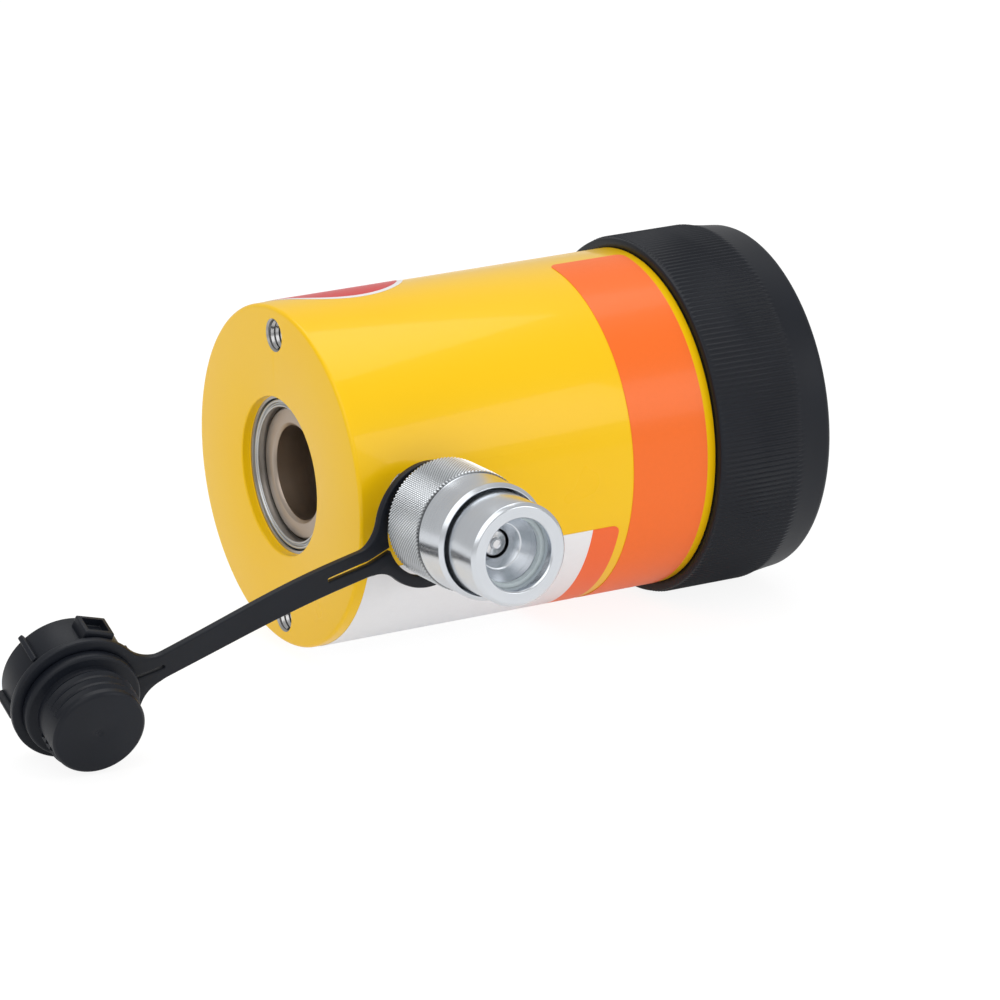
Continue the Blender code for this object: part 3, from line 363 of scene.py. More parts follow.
def thread_ridge(radius, height, pitch, start, length, steps=48, turn_share=1.0):
    """One continuous thread ridge round Z: a three-sided bar wound on a helix, with closed ends."""
    bm = bmesh.new()
    root = radius - math.copysign(0.08, height)
    corners = [
        bm.verts.new((r * MM, 0.0, z * MM))
        for r, z in ((root, start), (radius + height, start + pitch / 2), (root, start + pitch * 0.96))
    ]
    bm.faces.new(corners)
    turns = turn_share if turn_share < 1.0 else length / pitch - 1.0
    count = max(int(steps * turns), 4)
    bmesh.ops.spin(
        bm, geom=bm.verts[:] + bm.edges[:] + bm.faces[:], cent=(0, 0, 0), axis=(0, 0, 1),
        dvec=(0, 0, pitch * MM * turns / count), angle=math.tau * turns, steps=count,
    )
    bmesh.ops.recalc_face_normals(bm, faces=bm.faces)
    return bm


thread_steel = machined("cut_thread_steel", (0.50, 0.50, 0.50), base_middle, (1, 0, 0), roughness=0.2)
for side, where in ((-1, "top"), (1, "bottom")):
    bm = thread_ridge(BOLT_HOLE_RADIUS - THREAD_HEIGHT, -0.55, THREAD_PITCH, 0.8, BOLT_HOLE_DEPTH - 1.2)
    bmesh.ops.translate(bm, verts=bm.verts, vec=(side * BOLT_CIRCLE_RADIUS * MM, 0.0, 0.0))
    set_down(f"mounting_thread_{where}", bm, on_plunger_axis, (thread_steel,), "cylinder")


# Collar thread. A fine thread of one start runs the whole length of the collar, so that the
# cylinder can be screwed into a fixture; the ribbed protector covers it when it isn't in use.
COLLAR_PITCH = 2.1
bm = thread_ridge(COLLAR_RADIUS - 0.35, 0.55, COLLAR_PITCH, COLLAR_START + 1.5, 35.0, steps=128)
set_down("collar_thread", bm, on_plunger_axis, (thread_steel,), "cylinder")


# Centre tube and its lock ring. A drawn tube with a turned flange, plated in warm nickel, is held in
# the base by a screwed steel ring whose face carries a groove; the tube's end is chamfered.
TUBE_RADIUS = 19.05
TUBE_BORE_RADIUS = 13.6
TUBE_END_DEPTH = 5.5
TUBE_END = 130.0
TUBE_FLANGE_RADIUS = 21.6
TUBE_FLANGE_START = 6.3
LOCK_RING_DEPTH = 3.2
LOCK_GROOVE_DEPTH = 0.7
TUBE_NICKEL = (0.43, 0.36, 0.30)
LOCK_STEEL = (0.50, 0.52, 0.54)

tube_nickel = machined("tube_nickel", TUBE_NICKEL, base_middle, (1, 0, 0), marks=1500.0, roughness=0.36)
lock_steel = machined("lock_ring_steel", LOCK_STEEL, base_middle, (1, 0, 0), marks=1500.0, roughness=0.3)

bm = turned(
    [
        (TUBE_RADIUS, TUBE_END),
        (TUBE_RADIUS, FLANGE_SEAT_DEPTH - SEAT),
        (TUBE_FLANGE_RADIUS, FLANGE_SEAT_DEPTH - SEAT),
        (TUBE_FLANGE_RADIUS, TUBE_FLANGE_START),
        (TUBE_RADIUS, TUBE_FLANGE_START),
        (TUBE_RADIUS, TUBE_END_DEPTH + 0.5),
        (TUBE_RADIUS - 0.5, TUBE_END_DEPTH),
        (TUBE_BORE_RADIUS + 0.9, TUBE_END_DEPTH),
        (TUBE_BORE_RADIUS, TUBE_END_DEPTH + 0.9),
        (TUBE_BORE_RADIUS, TUBE_END),
    ],
    192,
)
round_edges(bm, 0.12, 2)
set_down("drawn_tube", bm, on_plunger_axis, (tube_nickel,), "cylinder", ["centre_tube"])

lock_inner = TUBE_RADIUS + SEAT
lock_end = TUBE_FLANGE_START - SEAT
bm = turned(
    [
        (TUBE_FLANGE_RADIUS, lock_end),
        (TUBE_FLANGE_RADIUS, LOCK_RING_DEPTH + 0.3),
        (TUBE_FLANGE_RADIUS - 0.3, LOCK_RING_DEPTH),
        (20.8, LOCK_RING_DEPTH),
        (20.5, LOCK_RING_DEPTH + LOCK_GROOVE_DEPTH),
        (20.2, LOCK_RING_DEPTH + LOCK_GROOVE_DEPTH),
        (19.9, LOCK_RING_DEPTH),
        (lock_inner + 0.2, LOCK_RING_DEPTH),
        (lock_inner, LOCK_RING_DEPTH + 0.2),
        (lock_inner, lock_end),
    ],
    192,
)
round_edges(bm, 0.1, 2)
set_down(
    "grooved_lock_ring", bm, on_plunger_axis, (lock_steel,), "cylinder", ["tube_lock_ring"]
)


# Plunger. A ground and hard-chromed stem in one piece with its piston head, which is grooved for the
# seals and the wear ring and slides on the centre tube.
HEAD_START = 16.3
HEAD_END = 36.3
HEAD_RADIUS = 36.4
HEAD_BORE_RADIUS = 19.25
STEM_RADIUS = 27.05
STEM_END = 154.3
STEM_THREAD_RADIUS = 19.85
STEM_THREAD_START = 135.3
SEAL_GROOVE_START = 23.3
SEAL_GROOVE_END = 28.4
SEAL_GROOVE_OUTER = 32.9
SEAL_GROOVE_INNER = 22.15
RING_GROOVE_START = 30.3
RING_GROOVE_END = 34.1
RING_GROOVE_RADIUS = 34.5
HEAD_CHAMFER = 4.0
CHROME = (0.66, 0.67, 0.69)

chrome = machined("hard_chrome", CHROME, base_middle, (1, 0, 0), marks=900.0, roughness=0.13, depth=0.002)
bm = turned(
    [
        (STEM_RADIUS, STEM_END),
        (STEM_RADIUS, HEAD_END),
        (HEAD_RADIUS, HEAD_END),
        (HEAD_RADIUS, RING_GROOVE_END),
        (RING_GROOVE_RADIUS, RING_GROOVE_END),
        (RING_GROOVE_RADIUS, RING_GROOVE_START),
        (HEAD_RADIUS, RING_GROOVE_START),
        (HEAD_RADIUS, SEAL_GROOVE_END),
        (SEAL_GROOVE_OUTER, SEAL_GROOVE_END),
        (SEAL_GROOVE_OUTER, SEAL_GROOVE_START),
        (HEAD_RADIUS, SEAL_GROOVE_START),
        (HEAD_RADIUS, HEAD_START + HEAD_CHAMFER),
        (HEAD_RADIUS - HEAD_CHAMFER, HEAD_START),
        (HEAD_BORE_RADIUS, HEAD_START),
        (HEAD_BORE_RADIUS, SEAL_GROOVE_START),
        (SEAL_GROOVE_INNER, SEAL_GROOVE_START),
        (SEAL_GROOVE_INNER, SEAL_GROOVE_END),
        (HEAD_BORE_RADIUS, SEAL_GROOVE_END),
        (HEAD_BORE_RADIUS, STEM_THREAD_START),
        (STEM_THREAD_RADIUS, STEM_THREAD_START),
        (STEM_THREAD_RADIUS, STEM_END),
    ],
    192,
)
round_edges(bm, 0.35, 3, at=(STEM_RADIUS, STEM_END))
round_edges(bm, 0.12, 2)
set_down("chromed_plunger", bm, on_plunger_axis, (chrome,), "plunger", ["plunger"])


# Saddle. A hardened steel ring, turned with chamfered edges and screwed into the plunger's end by its
# stub. It has no plating, so its face is a darker grey than the chrome.
SADDLE_RADIUS = 27.0
SADDLE_START = 154.6
SADDLE_END = 162.0
STUB_START = 137.2
STUB_RADIUS = 19.55
SADDLE_CHAMFER = 1.0
SADDLE_STEEL = (0.36, 0.35, 0.34)

saddle_steel = machined("saddle_steel", SADDLE_STEEL, base_middle, (1, 0, 0), roughness=0.34)
bm = turned(
    [
        (SADDLE_RADIUS - SADDLE_CHAMFER, SADDLE_END),
        (SADDLE_RADIUS, SADDLE_END - SADDLE_CHAMFER),
        (SADDLE_RADIUS, SADDLE_START),
        (STUB_RADIUS - THREAD_HEIGHT, SADDLE_START),
        (STUB_RADIUS - THREAD_HEIGHT, STUB_START + SADDLE_CHAMFER),
        (STUB_RADIUS - THREAD_HEIGHT - SADDLE_CHAMFER, STUB_START),
        (TUBE_BORE_RADIUS, STUB_START),
        (TUBE_BORE_RADIUS, SADDLE_END - SADDLE_CHAMFER),
        (TUBE_BORE_RADIUS + SADDLE_CHAMFER, SADDLE_END),
    ],
    192,
)
round_edges(bm, 0.15, 2)
set_down("turned_saddle", bm, on_plunger_axis, (saddle_steel,), "saddle", ["saddle"])
bm = thread_ridge(STUB_RADIUS - THREAD_HEIGHT, 0.45, THREAD_PITCH, STUB_START + 1.0, 15.5, steps=96)
set_down("saddle_thread", bm, on_plunger_axis, (saddle_steel,), "saddle")


# Stop ring. A blackened steel ring screwed into the barrel's mouth, which holds the return spring in;
# two blind holes in its face take a pin spanner.
STOP_RING_RADIUS = 39.5
STOP_RING_START = 134.5
STOP_RING_END = 151.8
STOP_RING_BORE = 27.55
SPANNER_CIRCLE_RADIUS = 35.075
SPANNER_HOLE_RADIUS = 2.4
ROD_GROOVE_START = 138.5
ROD_GROOVE_END = 144.6
ROD_GROOVE_RADIUS = 29.15
WIPER_SEAT_START = 147.9
WIPER_SEAT_RADIUS = 30.95

black_oxide, tree, inputs = new_finish("black_oxide_steel", {"Metallic": 0.85})
oil = tree.noise(tree.place(), 60.0, 4.0)
connect(
    tree,
    inputs,
    {
        "Base Color": tree.blend(oil, (0.035, 0.035, 0.038), (0.075, 0.074, 0.076)),
        "Roughness": 0.32 + 0.18 * oil,
        "Normal": tree.bumps(tree.noise(tree.place(), 900.0, 2.0), 0.01 * MM, 0.4),
    },
)
bm = turned(
    [
        (STOP_RING_RADIUS, STOP_RING_END),
        (STOP_RING_RADIUS, STOP_RING_START),
        (STOP_RING_BORE, STOP_RING_START),
        (STOP_RING_BORE, ROD_GROOVE_START),
        (ROD_GROOVE_RADIUS, ROD_GROOVE_START),
        (ROD_GROOVE_RADIUS, ROD_GROOVE_END),
        (STOP_RING_BORE, ROD_GROOVE_END),
        (STOP_RING_BORE, WIPER_SEAT_START),
        (WIPER_SEAT_RADIUS, WIPER_SEAT_START),
        (WIPER_SEAT_RADIUS, STOP_RING_END),
    ],
    192,
)
round_edges(bm, 0.3, 2, sharper=60.0)
stop_ring = set_down(
    "black_stop_ring", bm, on_plunger_axis, (black_oxide, black_oxide), "cylinder",
    ["stop_ring"],
)
cut_away(
    stop_ring,
    [
        drill(
            SPANNER_HOLE_RADIUS, STOP_RING_END - 6.0, STOP_RING_END + 1.0, on_plunger_axis,
            (0.0, side * SPANNER_CIRCLE_RADIUS),
        )
        for side in (-1, 1)
    ],
)


# Springs. Both are wound from round wire and have closed ends ground flat. The heavy one brings the
# plunger back and is shot-peened; the fine one closes the coupler's valve.
RETURN_RADIUS = 31.825
RETURN_WIRE = 3.2
POPPET_SPRING_RADIUS = 4.9
POPPET_WIRE = 0.55


def wound(name, radius, wire, start, end, turns, dead_turns, points_a_turn):
    """A compression spring round Z, with its ends cut flat at start and end."""
    seat = 0.6 * wire
    low_end, high_end = start + seat, end - seat
    closed_rise = 2.06 * wire
    live_turns = turns - 2 * dead_turns
    live_rise = (high_end - low_end - 2 * dead_turns * closed_rise) / live_turns
    count = int(turns * points_a_turn)
    curve = bpy.data.curves.new(name, "CURVE")
    curve.dimensions = "3D"
    curve.bevel_depth = wire * MM
    curve.bevel_resolution = 5
    curve.use_fill_caps = True
    line = curve.splines.new("POLY")
    line.points.add(count)
    for i in range(count + 1):
        turn = turns * i / count
        live = min(max(turn - dead_turns, 0.0), live_turns)
        place = low_end + closed_rise * (turn - live) + live_rise * live
        angle = math.tau * turn
        line.points[i].co = (radius * MM * math.cos(angle), radius * MM * math.sin(angle), place * MM, 1.0)
    source = bpy.data.objects.new(name, curve)
    bpy.context.scene.collection.objects.link(source)
    bpy.context.view_layer.update()
    mesh = bpy.data.meshes.new_from_object(source.evaluated_get(bpy.context.evaluated_depsgraph_get()))
    bpy.data.objects.remove(source, do_unlink=True)
    bm = bmesh.new()
    bm.from_mesh(mesh)
    bmesh.ops.remove_doubles(bm, verts=bm.verts, dist=0.001 * MM)
    for place, side in ((start, -1.0), (end, 1.0)):
        bmesh.ops.bisect_plane(
            bm, geom=bm.verts[:] + bm.edges[:] + bm.faces[:], plane_co=(0, 0, place * MM),
            plane_no=(0, 0, side), clear_outer=True,
        )
        bmesh.ops.holes_fill(bm, edges=[edge for edge in bm.edges if edge.is_boundary], sides=0)
    bmesh.ops.recalc_face_normals(bm, faces=bm.faces)
    return bm


peened, tree, inputs = new_finish("peened_spring_steel", {"Metallic": 0.9})
dimples = tree.noise(tree.place(), 1400.0, 2.0)
connect(
    tree,
    inputs,
    {
        "Base Color": tree.blend(dimples, (0.13, 0.13, 0.14), (0.22, 0.22, 0.23)),
        "Roughness": 0.34 + 0.16 * dimples,
        "Normal": tree.bumps(dimples, 0.03 * MM, 0.5),
    },
)
spring = set_down(
    "coiled_return_spring",
    wound("return_coil", RETURN_RADIUS, RETURN_WIRE, HEAD_END + SEAT, STOP_RING_START - SEAT, 6.0, 0.9, 40),
    on_plunger_axis, (peened,), "cylinder", ["return_spring"],
)
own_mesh(spring)
spring = set_down(
    "coiled_poppet_spring",
    wound("poppet_coil", POPPET_SPRING_RADIUS, POPPET_WIRE, 72.0, 82.8, 4.5, 0.8, 28),
    on_coupler_axis, (peened,), "cylinder", ["poppet_spring"],
)
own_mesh(spring)


# Thread protector. A moulded black ring pushed over the collar: fine grip ribs run along most of it
# and fade into a smooth band with a well rounded end.
PROTECTOR_START = 114.8
PROTECTOR_END = 152.7
PROTECTOR_BORE = 48.9
PROTECTOR_RADIUS = 52.0
PROTECTOR_END_RADIUS = 50.9
RIBS = 210
RIB_HEIGHT = 0.5
RIBS_START = 115.6
RIBS_END = 142.5
BLACK_PLASTIC = (0.0060, 0.0078, 0.0125)

black_plastic, tree, inputs = new_finish("moulded_black_plastic", {"IOR": 1.48, "Specular IOR Level": 0.27})
grain = tree.noise(tree.place(), 2600.0, 2.0)
flow = tree.noise(tree.place(), 55.0, 3.0)
darker = tuple(0.8 * c for c in BLACK_PLASTIC)
lighter = tuple(1.35 * c for c in BLACK_PLASTIC)
connect(
    tree,
    inputs,
    {
        "Base Color": tree.blend(flow, darker, lighter),
        "Roughness": 0.34 + 0.10 * flow + 0.06 * grain,
        "Normal": tree.bumps(grain * 0.7 + flow, 0.012 * MM, 0.7),
    },
)
outline = [
    (PROTECTOR_END_RADIUS - 2.0 + 2.0 * math.sin(angle), PROTECTOR_END - 2.0 + 2.0 * math.cos(angle))
    for angle in (math.radians(15.0 * i) for i in range(1, 7))
]
outline += [(51.3, 147.0), (51.8, 143.6), (PROTECTOR_RADIUS, RIBS_END)]
outline += [(PROTECTOR_RADIUS, RIBS_END - 1.0 * i) for i in (0.5, 1.0, 2.0)]
outline += [(PROTECTOR_RADIUS, 130.0), (PROTECTOR_RADIUS, RIBS_START + 1.0), (PROTECTOR_RADIUS, RIBS_START)]
outline += [
    (PROTECTOR_RADIUS, PROTECTOR_START + 0.3),
    (PROTECTOR_RADIUS - 0.3, PROTECTOR_START),
    (PROTECTOR_BORE + 0.2, PROTECTOR_START),
    (PROTECTOR_BORE, PROTECTOR_START + 0.2),
    (PROTECTOR_BORE, PROTECTOR_END - 0.4),
    (PROTECTOR_BORE + 0.4, PROTECTOR_END),
]
bm = turned(outline, RIBS * 6)
for vert in bm.verts:
    along = vert.co.z / MM
    if vert.co.xy.length > (PROTECTOR_RADIUS - 0.05) * MM and RIBS_START - 0.1 < along:
        full = min((along - RIBS_START) / 1.0, (RIBS_END - along) / 2.0, 1.0)
        wave = 0.5 + 0.5 * math.cos(RIBS * math.atan2(vert.co.y, vert.co.x))
        out = 1.0 + RIB_HEIGHT * max(full, 0.0) * (wave**1.4) / PROTECTOR_RADIUS
        vert.co.x *= out
        vert.co.y *= out
set_down(
    "ribbed_protector", bm, on_plunger_axis, (black_plastic,), "protector",
    ["thread_protector"], sharper=60.0,
)


# Coupler adapter. A turned fitting, zinc plated, whose stub is screwed into the port against its seal;
# the spigot on its outer end carries the coupler half.
COUPLER_CENTRE = base_middle + Vector((PORT_HEIGHT * MM, 0.0, 0.0))
ADAPTER_START = 39.5
ADAPTER_END = 69.0
ADAPTER_BORE = 3.2
STUB_ROOT_RADIUS = 7.9
SPIGOT_START = 61.2
SPIGOT_RADIUS = 9.2
NECK_RADIUS = 10.7
ZINC = (0.70, 0.73, 0.77)

zinc = machined("zinc_plated_steel", ZINC, COUPLER_CENTRE, (0, 1, 0), marks=1300.0, roughness=0.24)
bm = turned(
    [
        (SPIGOT_RADIUS, ADAPTER_END),
        (SPIGOT_RADIUS, 65.6),
        (7.6, 65.6),
        (7.6, 62.8),
        (SPIGOT_RADIUS, 62.8),
        (SPIGOT_RADIUS, SPIGOT_START),
        (NECK_RADIUS, SPIGOT_START),
        (NECK_RADIUS, 48.5),
        (STUB_ROOT_RADIUS, 48.5),
        (STUB_ROOT_RADIUS, ADAPTER_START + 0.4),
        (STUB_ROOT_RADIUS - 0.4, ADAPTER_START),
        (ADAPTER_BORE, ADAPTER_START),
        (ADAPTER_BORE, ADAPTER_END),
    ],
    128,
)
round_edges(bm, 0.15, 2, sharper=60.0)
set_down(
    "plated_adapter", bm, on_coupler_axis, (zinc,), "cylinder", ["coupler_adapter"]
)
bm = thread_ridge(STUB_ROOT_RADIUS, 0.45, THREAD_PITCH, 40.0, 8.0, steps=64)
set_down("adapter_thread", bm, on_coupler_axis, (zinc,), "cylinder")


# Coupler body with its nozzle. Turned and zinc plated; the nozzle's face is finely faced, its mouth
# has a ledge for the seal, and a funnel leads down to the valve's throat.
NOZZLE_FACE = 105.0
NOZZLE_RADIUS = 14.56
NOZZLE_START = 79.0
BODY_WAIST_RADIUS = 13.3
BODY_FLANGE_RADIUS = 15.4
BODY_FLANGE_END = 64.9
BODY_START = 61.5
BODY_BORE = 9.5
BODY_BORE_END = 72.0
VALVE_BORE = 7.6
THROAT_RADIUS = 4.2
MOUTH_BORE = 10.14
LEDGE_START = 98.0
bm = turned(
    [
        (NOZZLE_RADIUS - 1.0, NOZZLE_FACE),
        (NOZZLE_RADIUS, NOZZLE_FACE - 1.0),
        (NOZZLE_RADIUS, NOZZLE_START),
        (BODY_WAIST_RADIUS, NOZZLE_START),
        (BODY_WAIST_RADIUS, BODY_FLANGE_END),
        (BODY_FLANGE_RADIUS, BODY_FLANGE_END),
        (BODY_FLANGE_RADIUS, BODY_START),
        (BODY_BORE, BODY_START),
        (BODY_BORE, BODY_BORE_END),
        (VALVE_BORE, BODY_BORE_END),
        (VALVE_BORE, 85.1),
        (THROAT_RADIUS, 88.5),
        (THROAT_RADIUS, 91.5),
        (6.3, 94.1),
        (6.6, 94.1),
        (9.24, 97.7),
        (9.24, LEDGE_START),
        (10.74, LEDGE_START),
        (10.74, 100.4),
        (MOUTH_BORE, 100.4),
        (MOUTH_BORE, NOZZLE_FACE - 0.5),
        (MOUTH_BORE + 0.5, NOZZLE_FACE),
    ],
    160,
)
round_edges(bm, 0.22, 3, at=(NOZZLE_RADIUS - 1.0, NOZZLE_FACE))
round_edges(bm, 0.12, 2, sharper=40.0)
set_down("plated_coupler_body", bm, on_coupler_axis, (zinc,), "cylinder", ["coupler_body"])


# Coupler sleeve. A zinc-plated nut with a diamond knurl rolled on its grip, with painted shade in its
# valleys and a painted highlight on its crests, and a smooth band at its mouth; the thread in its bore
# takes the hose's half of the coupler.
SLEEVE_START = 61.5
KNURL_END = 78.9
SLEEVE_END = 90.6
SLEEVE_RADIUS = 17.3
SLEEVE_BAND_RADIUS = 16.6
SLEEVE_BORE = 15.9
KNURL_STEPS = 196
KNURL_ROW = 0.56
KNURL_DEPTH = 0.42
# Painted shade colour for the knurl's valleys and painted highlight colour for its crests.
KNURL_VALLEY_SHADE = (0.16, 0.17, 0.18)
KNURL_CREST_HIGHLIGHT = (0.80, 0.83, 0.86)
MOUTH_LIP = 0.6

rows = int((KNURL_END - SLEEVE_START - 1.2) / KNURL_ROW)
knurl_start = SLEEVE_START + 0.6
outline = [
    (SLEEVE_BAND_RADIUS - 1.0, SLEEVE_END),
    (SLEEVE_BAND_RADIUS, SLEEVE_END - 1.0),
    (SLEEVE_BAND_RADIUS, KNURL_END + 0.3),
    (SLEEVE_BAND_RADIUS + 0.1, KNURL_END),
]
outline += [(SLEEVE_RADIUS, knurl_start + KNURL_ROW * i) for i in range(rows, -1, -1)]
outline += [
    (SLEEVE_RADIUS - 0.5, SLEEVE_START),
    (SLEEVE_BORE + 0.2, SLEEVE_START),
    (SLEEVE_BORE, SLEEVE_START + 0.2),
    (SLEEVE_BORE, 64.9),
    (16.5, 64.9),
    (16.5, 67.0),
    (SLEEVE_BORE, 67.0),
    (SLEEVE_BORE, SLEEVE_END - 1.6),
    (SLEEVE_BORE - MOUTH_LIP, SLEEVE_END - 1.1),
    (SLEEVE_BORE - MOUTH_LIP, SLEEVE_END - 0.1),
    (SLEEVE_BORE - 0.5, SLEEVE_END),
]
bm = turned(outline, KNURL_STEPS)
low_points = []
for vert in bm.verts:
    if vert.co.xy.length > (SLEEVE_RADIUS - 0.01) * MM:
        row = round((vert.co.z / MM - knurl_start) / KNURL_ROW)
        step = round(math.atan2(vert.co.y, vert.co.x) / math.tau * KNURL_STEPS)
        if (row + step) % 2 == 0:
            low_points.append(vert)
            inward = 1.0 - KNURL_DEPTH / SLEEVE_RADIUS
            vert.co.x *= inward
            vert.co.y *= inward
bmesh.ops.connect_verts(bm, verts=low_points)
bmesh.ops.recalc_face_normals(bm, faces=bm.faces)
knurl_zinc_painted_light, tree, inputs = new_finish("knurled_zinc_painted_light", {"Metallic": 1.0})
across = tree.node("VectorMath", {"operation": "MULTIPLY"}, {0: tree.place(COUPLER_CENTRE), 1: (1, 0, 1)})
radius = tree.node("VectorMath", {"operation": "LENGTH"}, {0: across}, 1)
# The knurl's colour follows its depth: painted shade down in the valleys, painted highlight on the crests.
height = (radius / MM - SLEEVE_RADIUS) / KNURL_DEPTH
bright = tree.maths("POWER", tree.maths("MAXIMUM", height + 1.0, 0.0), 0.7)
stain = tree.noise(tree.place(), 90.0, 4.0)
connect(
    tree,
    inputs,
    {"Base Color": tree.blend(bright, KNURL_VALLEY_SHADE, KNURL_CREST_HIGHLIGHT), "Roughness": 0.22 + 0.14 * stain},
)
for face in bm.faces:
    middle = face.calc_center_median() / MM
    face.material_index = 1 if middle.xy.length > SLEEVE_BAND_RADIUS + 0.15 else 0
set_down(
    "knurled_sleeve", bm, on_coupler_axis, (zinc, knurl_zinc_painted_light), "sleeve", ["coupler_sleeve"],
    sharper=24.0,
)
bm = thread_ridge(SLEEVE_BORE, -0.7, 1.8, 68.0, 21.0, steps=96)
set_down("sleeve_thread", bm, on_coupler_axis, (zinc,), "sleeve")


# Check valve. A turned and polished steel poppet closes the nozzle's throat from within; its bright
# pin is pushed in by the other half of the coupler.
PIN_END = 92.6
PIN_RADIUS = 1.6
NOSE_END = 91.2
NOSE_RADIUS = 3.7
VALVE_HEAD_START = 83.1
VALVE_HEAD_RADIUS = 6.6
STEM_START = 69.3
PIN_STEEL = (0.74, 0.74, 0.75)

pin_steel = machined("pin_steel", PIN_STEEL, COUPLER_CENTRE, (0, 1, 0), marks=1600.0, roughness=0.15)
bm = turned(
    [
        (0.0, PIN_END),
        (PIN_RADIUS - 0.4, PIN_END),
        (PIN_RADIUS, PIN_END - 0.4),
        (PIN_RADIUS, NOSE_END),
        (NOSE_RADIUS - 0.4, NOSE_END),
        (NOSE_RADIUS, NOSE_END - 0.4),
        (NOSE_RADIUS, 87.7),
        (VALVE_HEAD_RADIUS, 84.8),
        (VALVE_HEAD_RADIUS, VALVE_HEAD_START),
        (PIN_RADIUS, VALVE_HEAD_START),
        (PIN_RADIUS, STEM_START),
        (0.0, STEM_START),
    ],
    64,
    closed=False,
)
round_edges(bm, 0.08, 2, sharper=35.0)
set_down("polished_poppet", bm, on_coupler_axis, (pin_steel,), "poppet", ["poppet_valve"])


# Strap. Moulded flat in black plastic, 2.2 mm thick with softly rounded edges, with a slit ring at
# each end; it lies bent and twisted from the coupler's neck to the cap.
STRAP_RING_PLACE = 56.5
STRAP_THICKNESS = 2.2
STRAP_WIDTH = 8.2
STRAP_BOW = 3.6
STRAP_REACH = 113.7
STRAP_RING_RADIUS = 18.0
STRAP_RING_HOLE = 14.5
STRAP_CAP_RING_RADIUS = 19.15
STRAP_CAP_HOLE = 15.0
STRAP_FILLET = 10.0
STRAP_SLIT = 1.1
STRAP_SLIT_NECK = 22.0
STRAP_SLIT_CAP = 10.0
STRAP_EDGE = 0.45
STRAP_HANG_ANGLE = math.radians(36.0)
STRAP_DROP_ANGLE = math.radians(17.22)
STRAP_LEAN_ANGLE = math.radians(9.9)
CAP_DOWN_ANGLE = math.radians(19.3)
CAP_SIDE_ANGLE = math.radians(-4.65)
BEND_STEPS = 32


def arc(centre, radius, start, end, steps):
    turns = [start + (end - start) * i / steps for i in range(steps + 1)]
    return [(centre[0] + radius * math.cos(a), centre[1] + radius * math.sin(a)) for a in turns]


def strap_end(radius):
    """Half of the outline of one end: round its ring, then the fillet into the strap's edge."""
    half = STRAP_WIDTH / 2
    fillet_x = math.sqrt((radius + STRAP_FILLET) ** 2 - (half + STRAP_FILLET) ** 2)
    touch = math.atan2(half + STRAP_FILLET, fillet_x)
    return arc((0.0, 0.0), radius, math.pi, touch, 48) + arc(
        (fillet_x, half + STRAP_FILLET), STRAP_FILLET, touch - math.pi, -math.pi / 2, 16
    )


def strap_hole(radius, slit_length, side):
    """A ring's hole with the slit that lets it stretch, whose end is rounded."""
    half = STRAP_SLIT / 2
    mouth = math.asin(half / radius)
    points = arc((0.0, 0.0), radius, mouth, math.tau - mouth, 96)
    points += arc((radius + slit_length - half, 0.0), half, -math.pi / 2, math.pi / 2, 8)
    return [(side * x, y) for x, y in points]


def strap_frame(along, start_turn, end_turn):
    """Middle and turn of the strap at a distance along it, in millimetres."""
    bend_start = STRAP_RING_RADIUS + STRAP_WIDTH / 2
    bend_end = STRAP_REACH - STRAP_CAP_RING_RADIUS - STRAP_WIDTH / 2
    reach = min(max(along, bend_start), bend_end)
    share = (reach - bend_start) / (bend_end - bend_start)
    middle = start_turn @ Vector((min(along, bend_start), 0.0, 0.0))
    for i in range(BEND_STEPS):
        part = share * (i + 0.5) / BEND_STEPS
        turn = start_turn.slerp(end_turn, part * part * (3 - 2 * part))
        middle += turn @ Vector(((reach - bend_start) / BEND_STEPS, 0.0, 0.0))
    turn = start_turn.slerp(end_turn, share * share * (3 - 2 * share))
    bow = STRAP_BOW * math.sin(math.pi * share)
    middle += turn @ Vector((max(along - bend_end, 0.0), -bow, 0.0))
    return middle, turn


lie = Quaternion((0.0, 0.0, 1.0), STRAP_LEAN_ANGLE)
along = lie @ Vector((-math.cos(STRAP_DROP_ANGLE), 0.0, -math.sin(STRAP_DROP_ANGLE)))
facing = lie @ Vector((0.0, -1.0, 0.0))
start_turn = Matrix((along, facing.cross(along), facing)).transposed().to_quaternion()
cap_facing = Euler((CAP_DOWN_ANGLE, 0.0, CAP_SIDE_ANGLE)).to_matrix() @ Vector((0.0, -1.0, 0.0))
end_turn = facing.rotation_difference(cap_facing) @ start_turn

near = strap_end(STRAP_RING_RADIUS)
upper = near + [(STRAP_REACH - x, y) for x, y in strap_end(STRAP_CAP_RING_RADIUS)][::-1]
curve = bpy.data.curves.new("strap_outline", "CURVE")
curve.dimensions = "2D"
curve.fill_mode = "BOTH"
curve.extrude = (STRAP_THICKNESS / 2 - STRAP_EDGE) * MM
curve.bevel_depth = STRAP_EDGE * MM
curve.bevel_resolution = 2
curve.offset = -STRAP_EDGE * MM
for points in (
    upper + [(x, -y) for x, y in upper[-2:0:-1]],
    strap_hole(STRAP_RING_HOLE, STRAP_SLIT_NECK, 1),
    [(STRAP_REACH + x, y) for x, y in strap_hole(STRAP_CAP_HOLE, STRAP_SLIT_CAP, -1)],
):
    line = curve.splines.new("POLY")
    line.points.add(len(points) - 1)
    for point, (x, y) in zip(line.points, points):
        point.co = (x * MM, y * MM, 0.0, 1.0)
    line.use_cyclic_u = True
source = bpy.data.objects.new("strap_outline", curve)
bpy.context.scene.collection.objects.link(source)
bpy.context.view_layer.update()
mesh = bpy.data.meshes.new_from_object(source.evaluated_get(bpy.context.evaluated_depsgraph_get()))
bpy.data.objects.remove(source, do_unlink=True)
bm = bmesh.new()
bm.from_mesh(mesh)
bmesh.ops.remove_doubles(bm, verts=bm.verts, dist=0.001 * MM)
first = STRAP_RING_RADIUS + STRAP_WIDTH / 2
last = STRAP_REACH - STRAP_CAP_RING_RADIUS - STRAP_WIDTH / 2
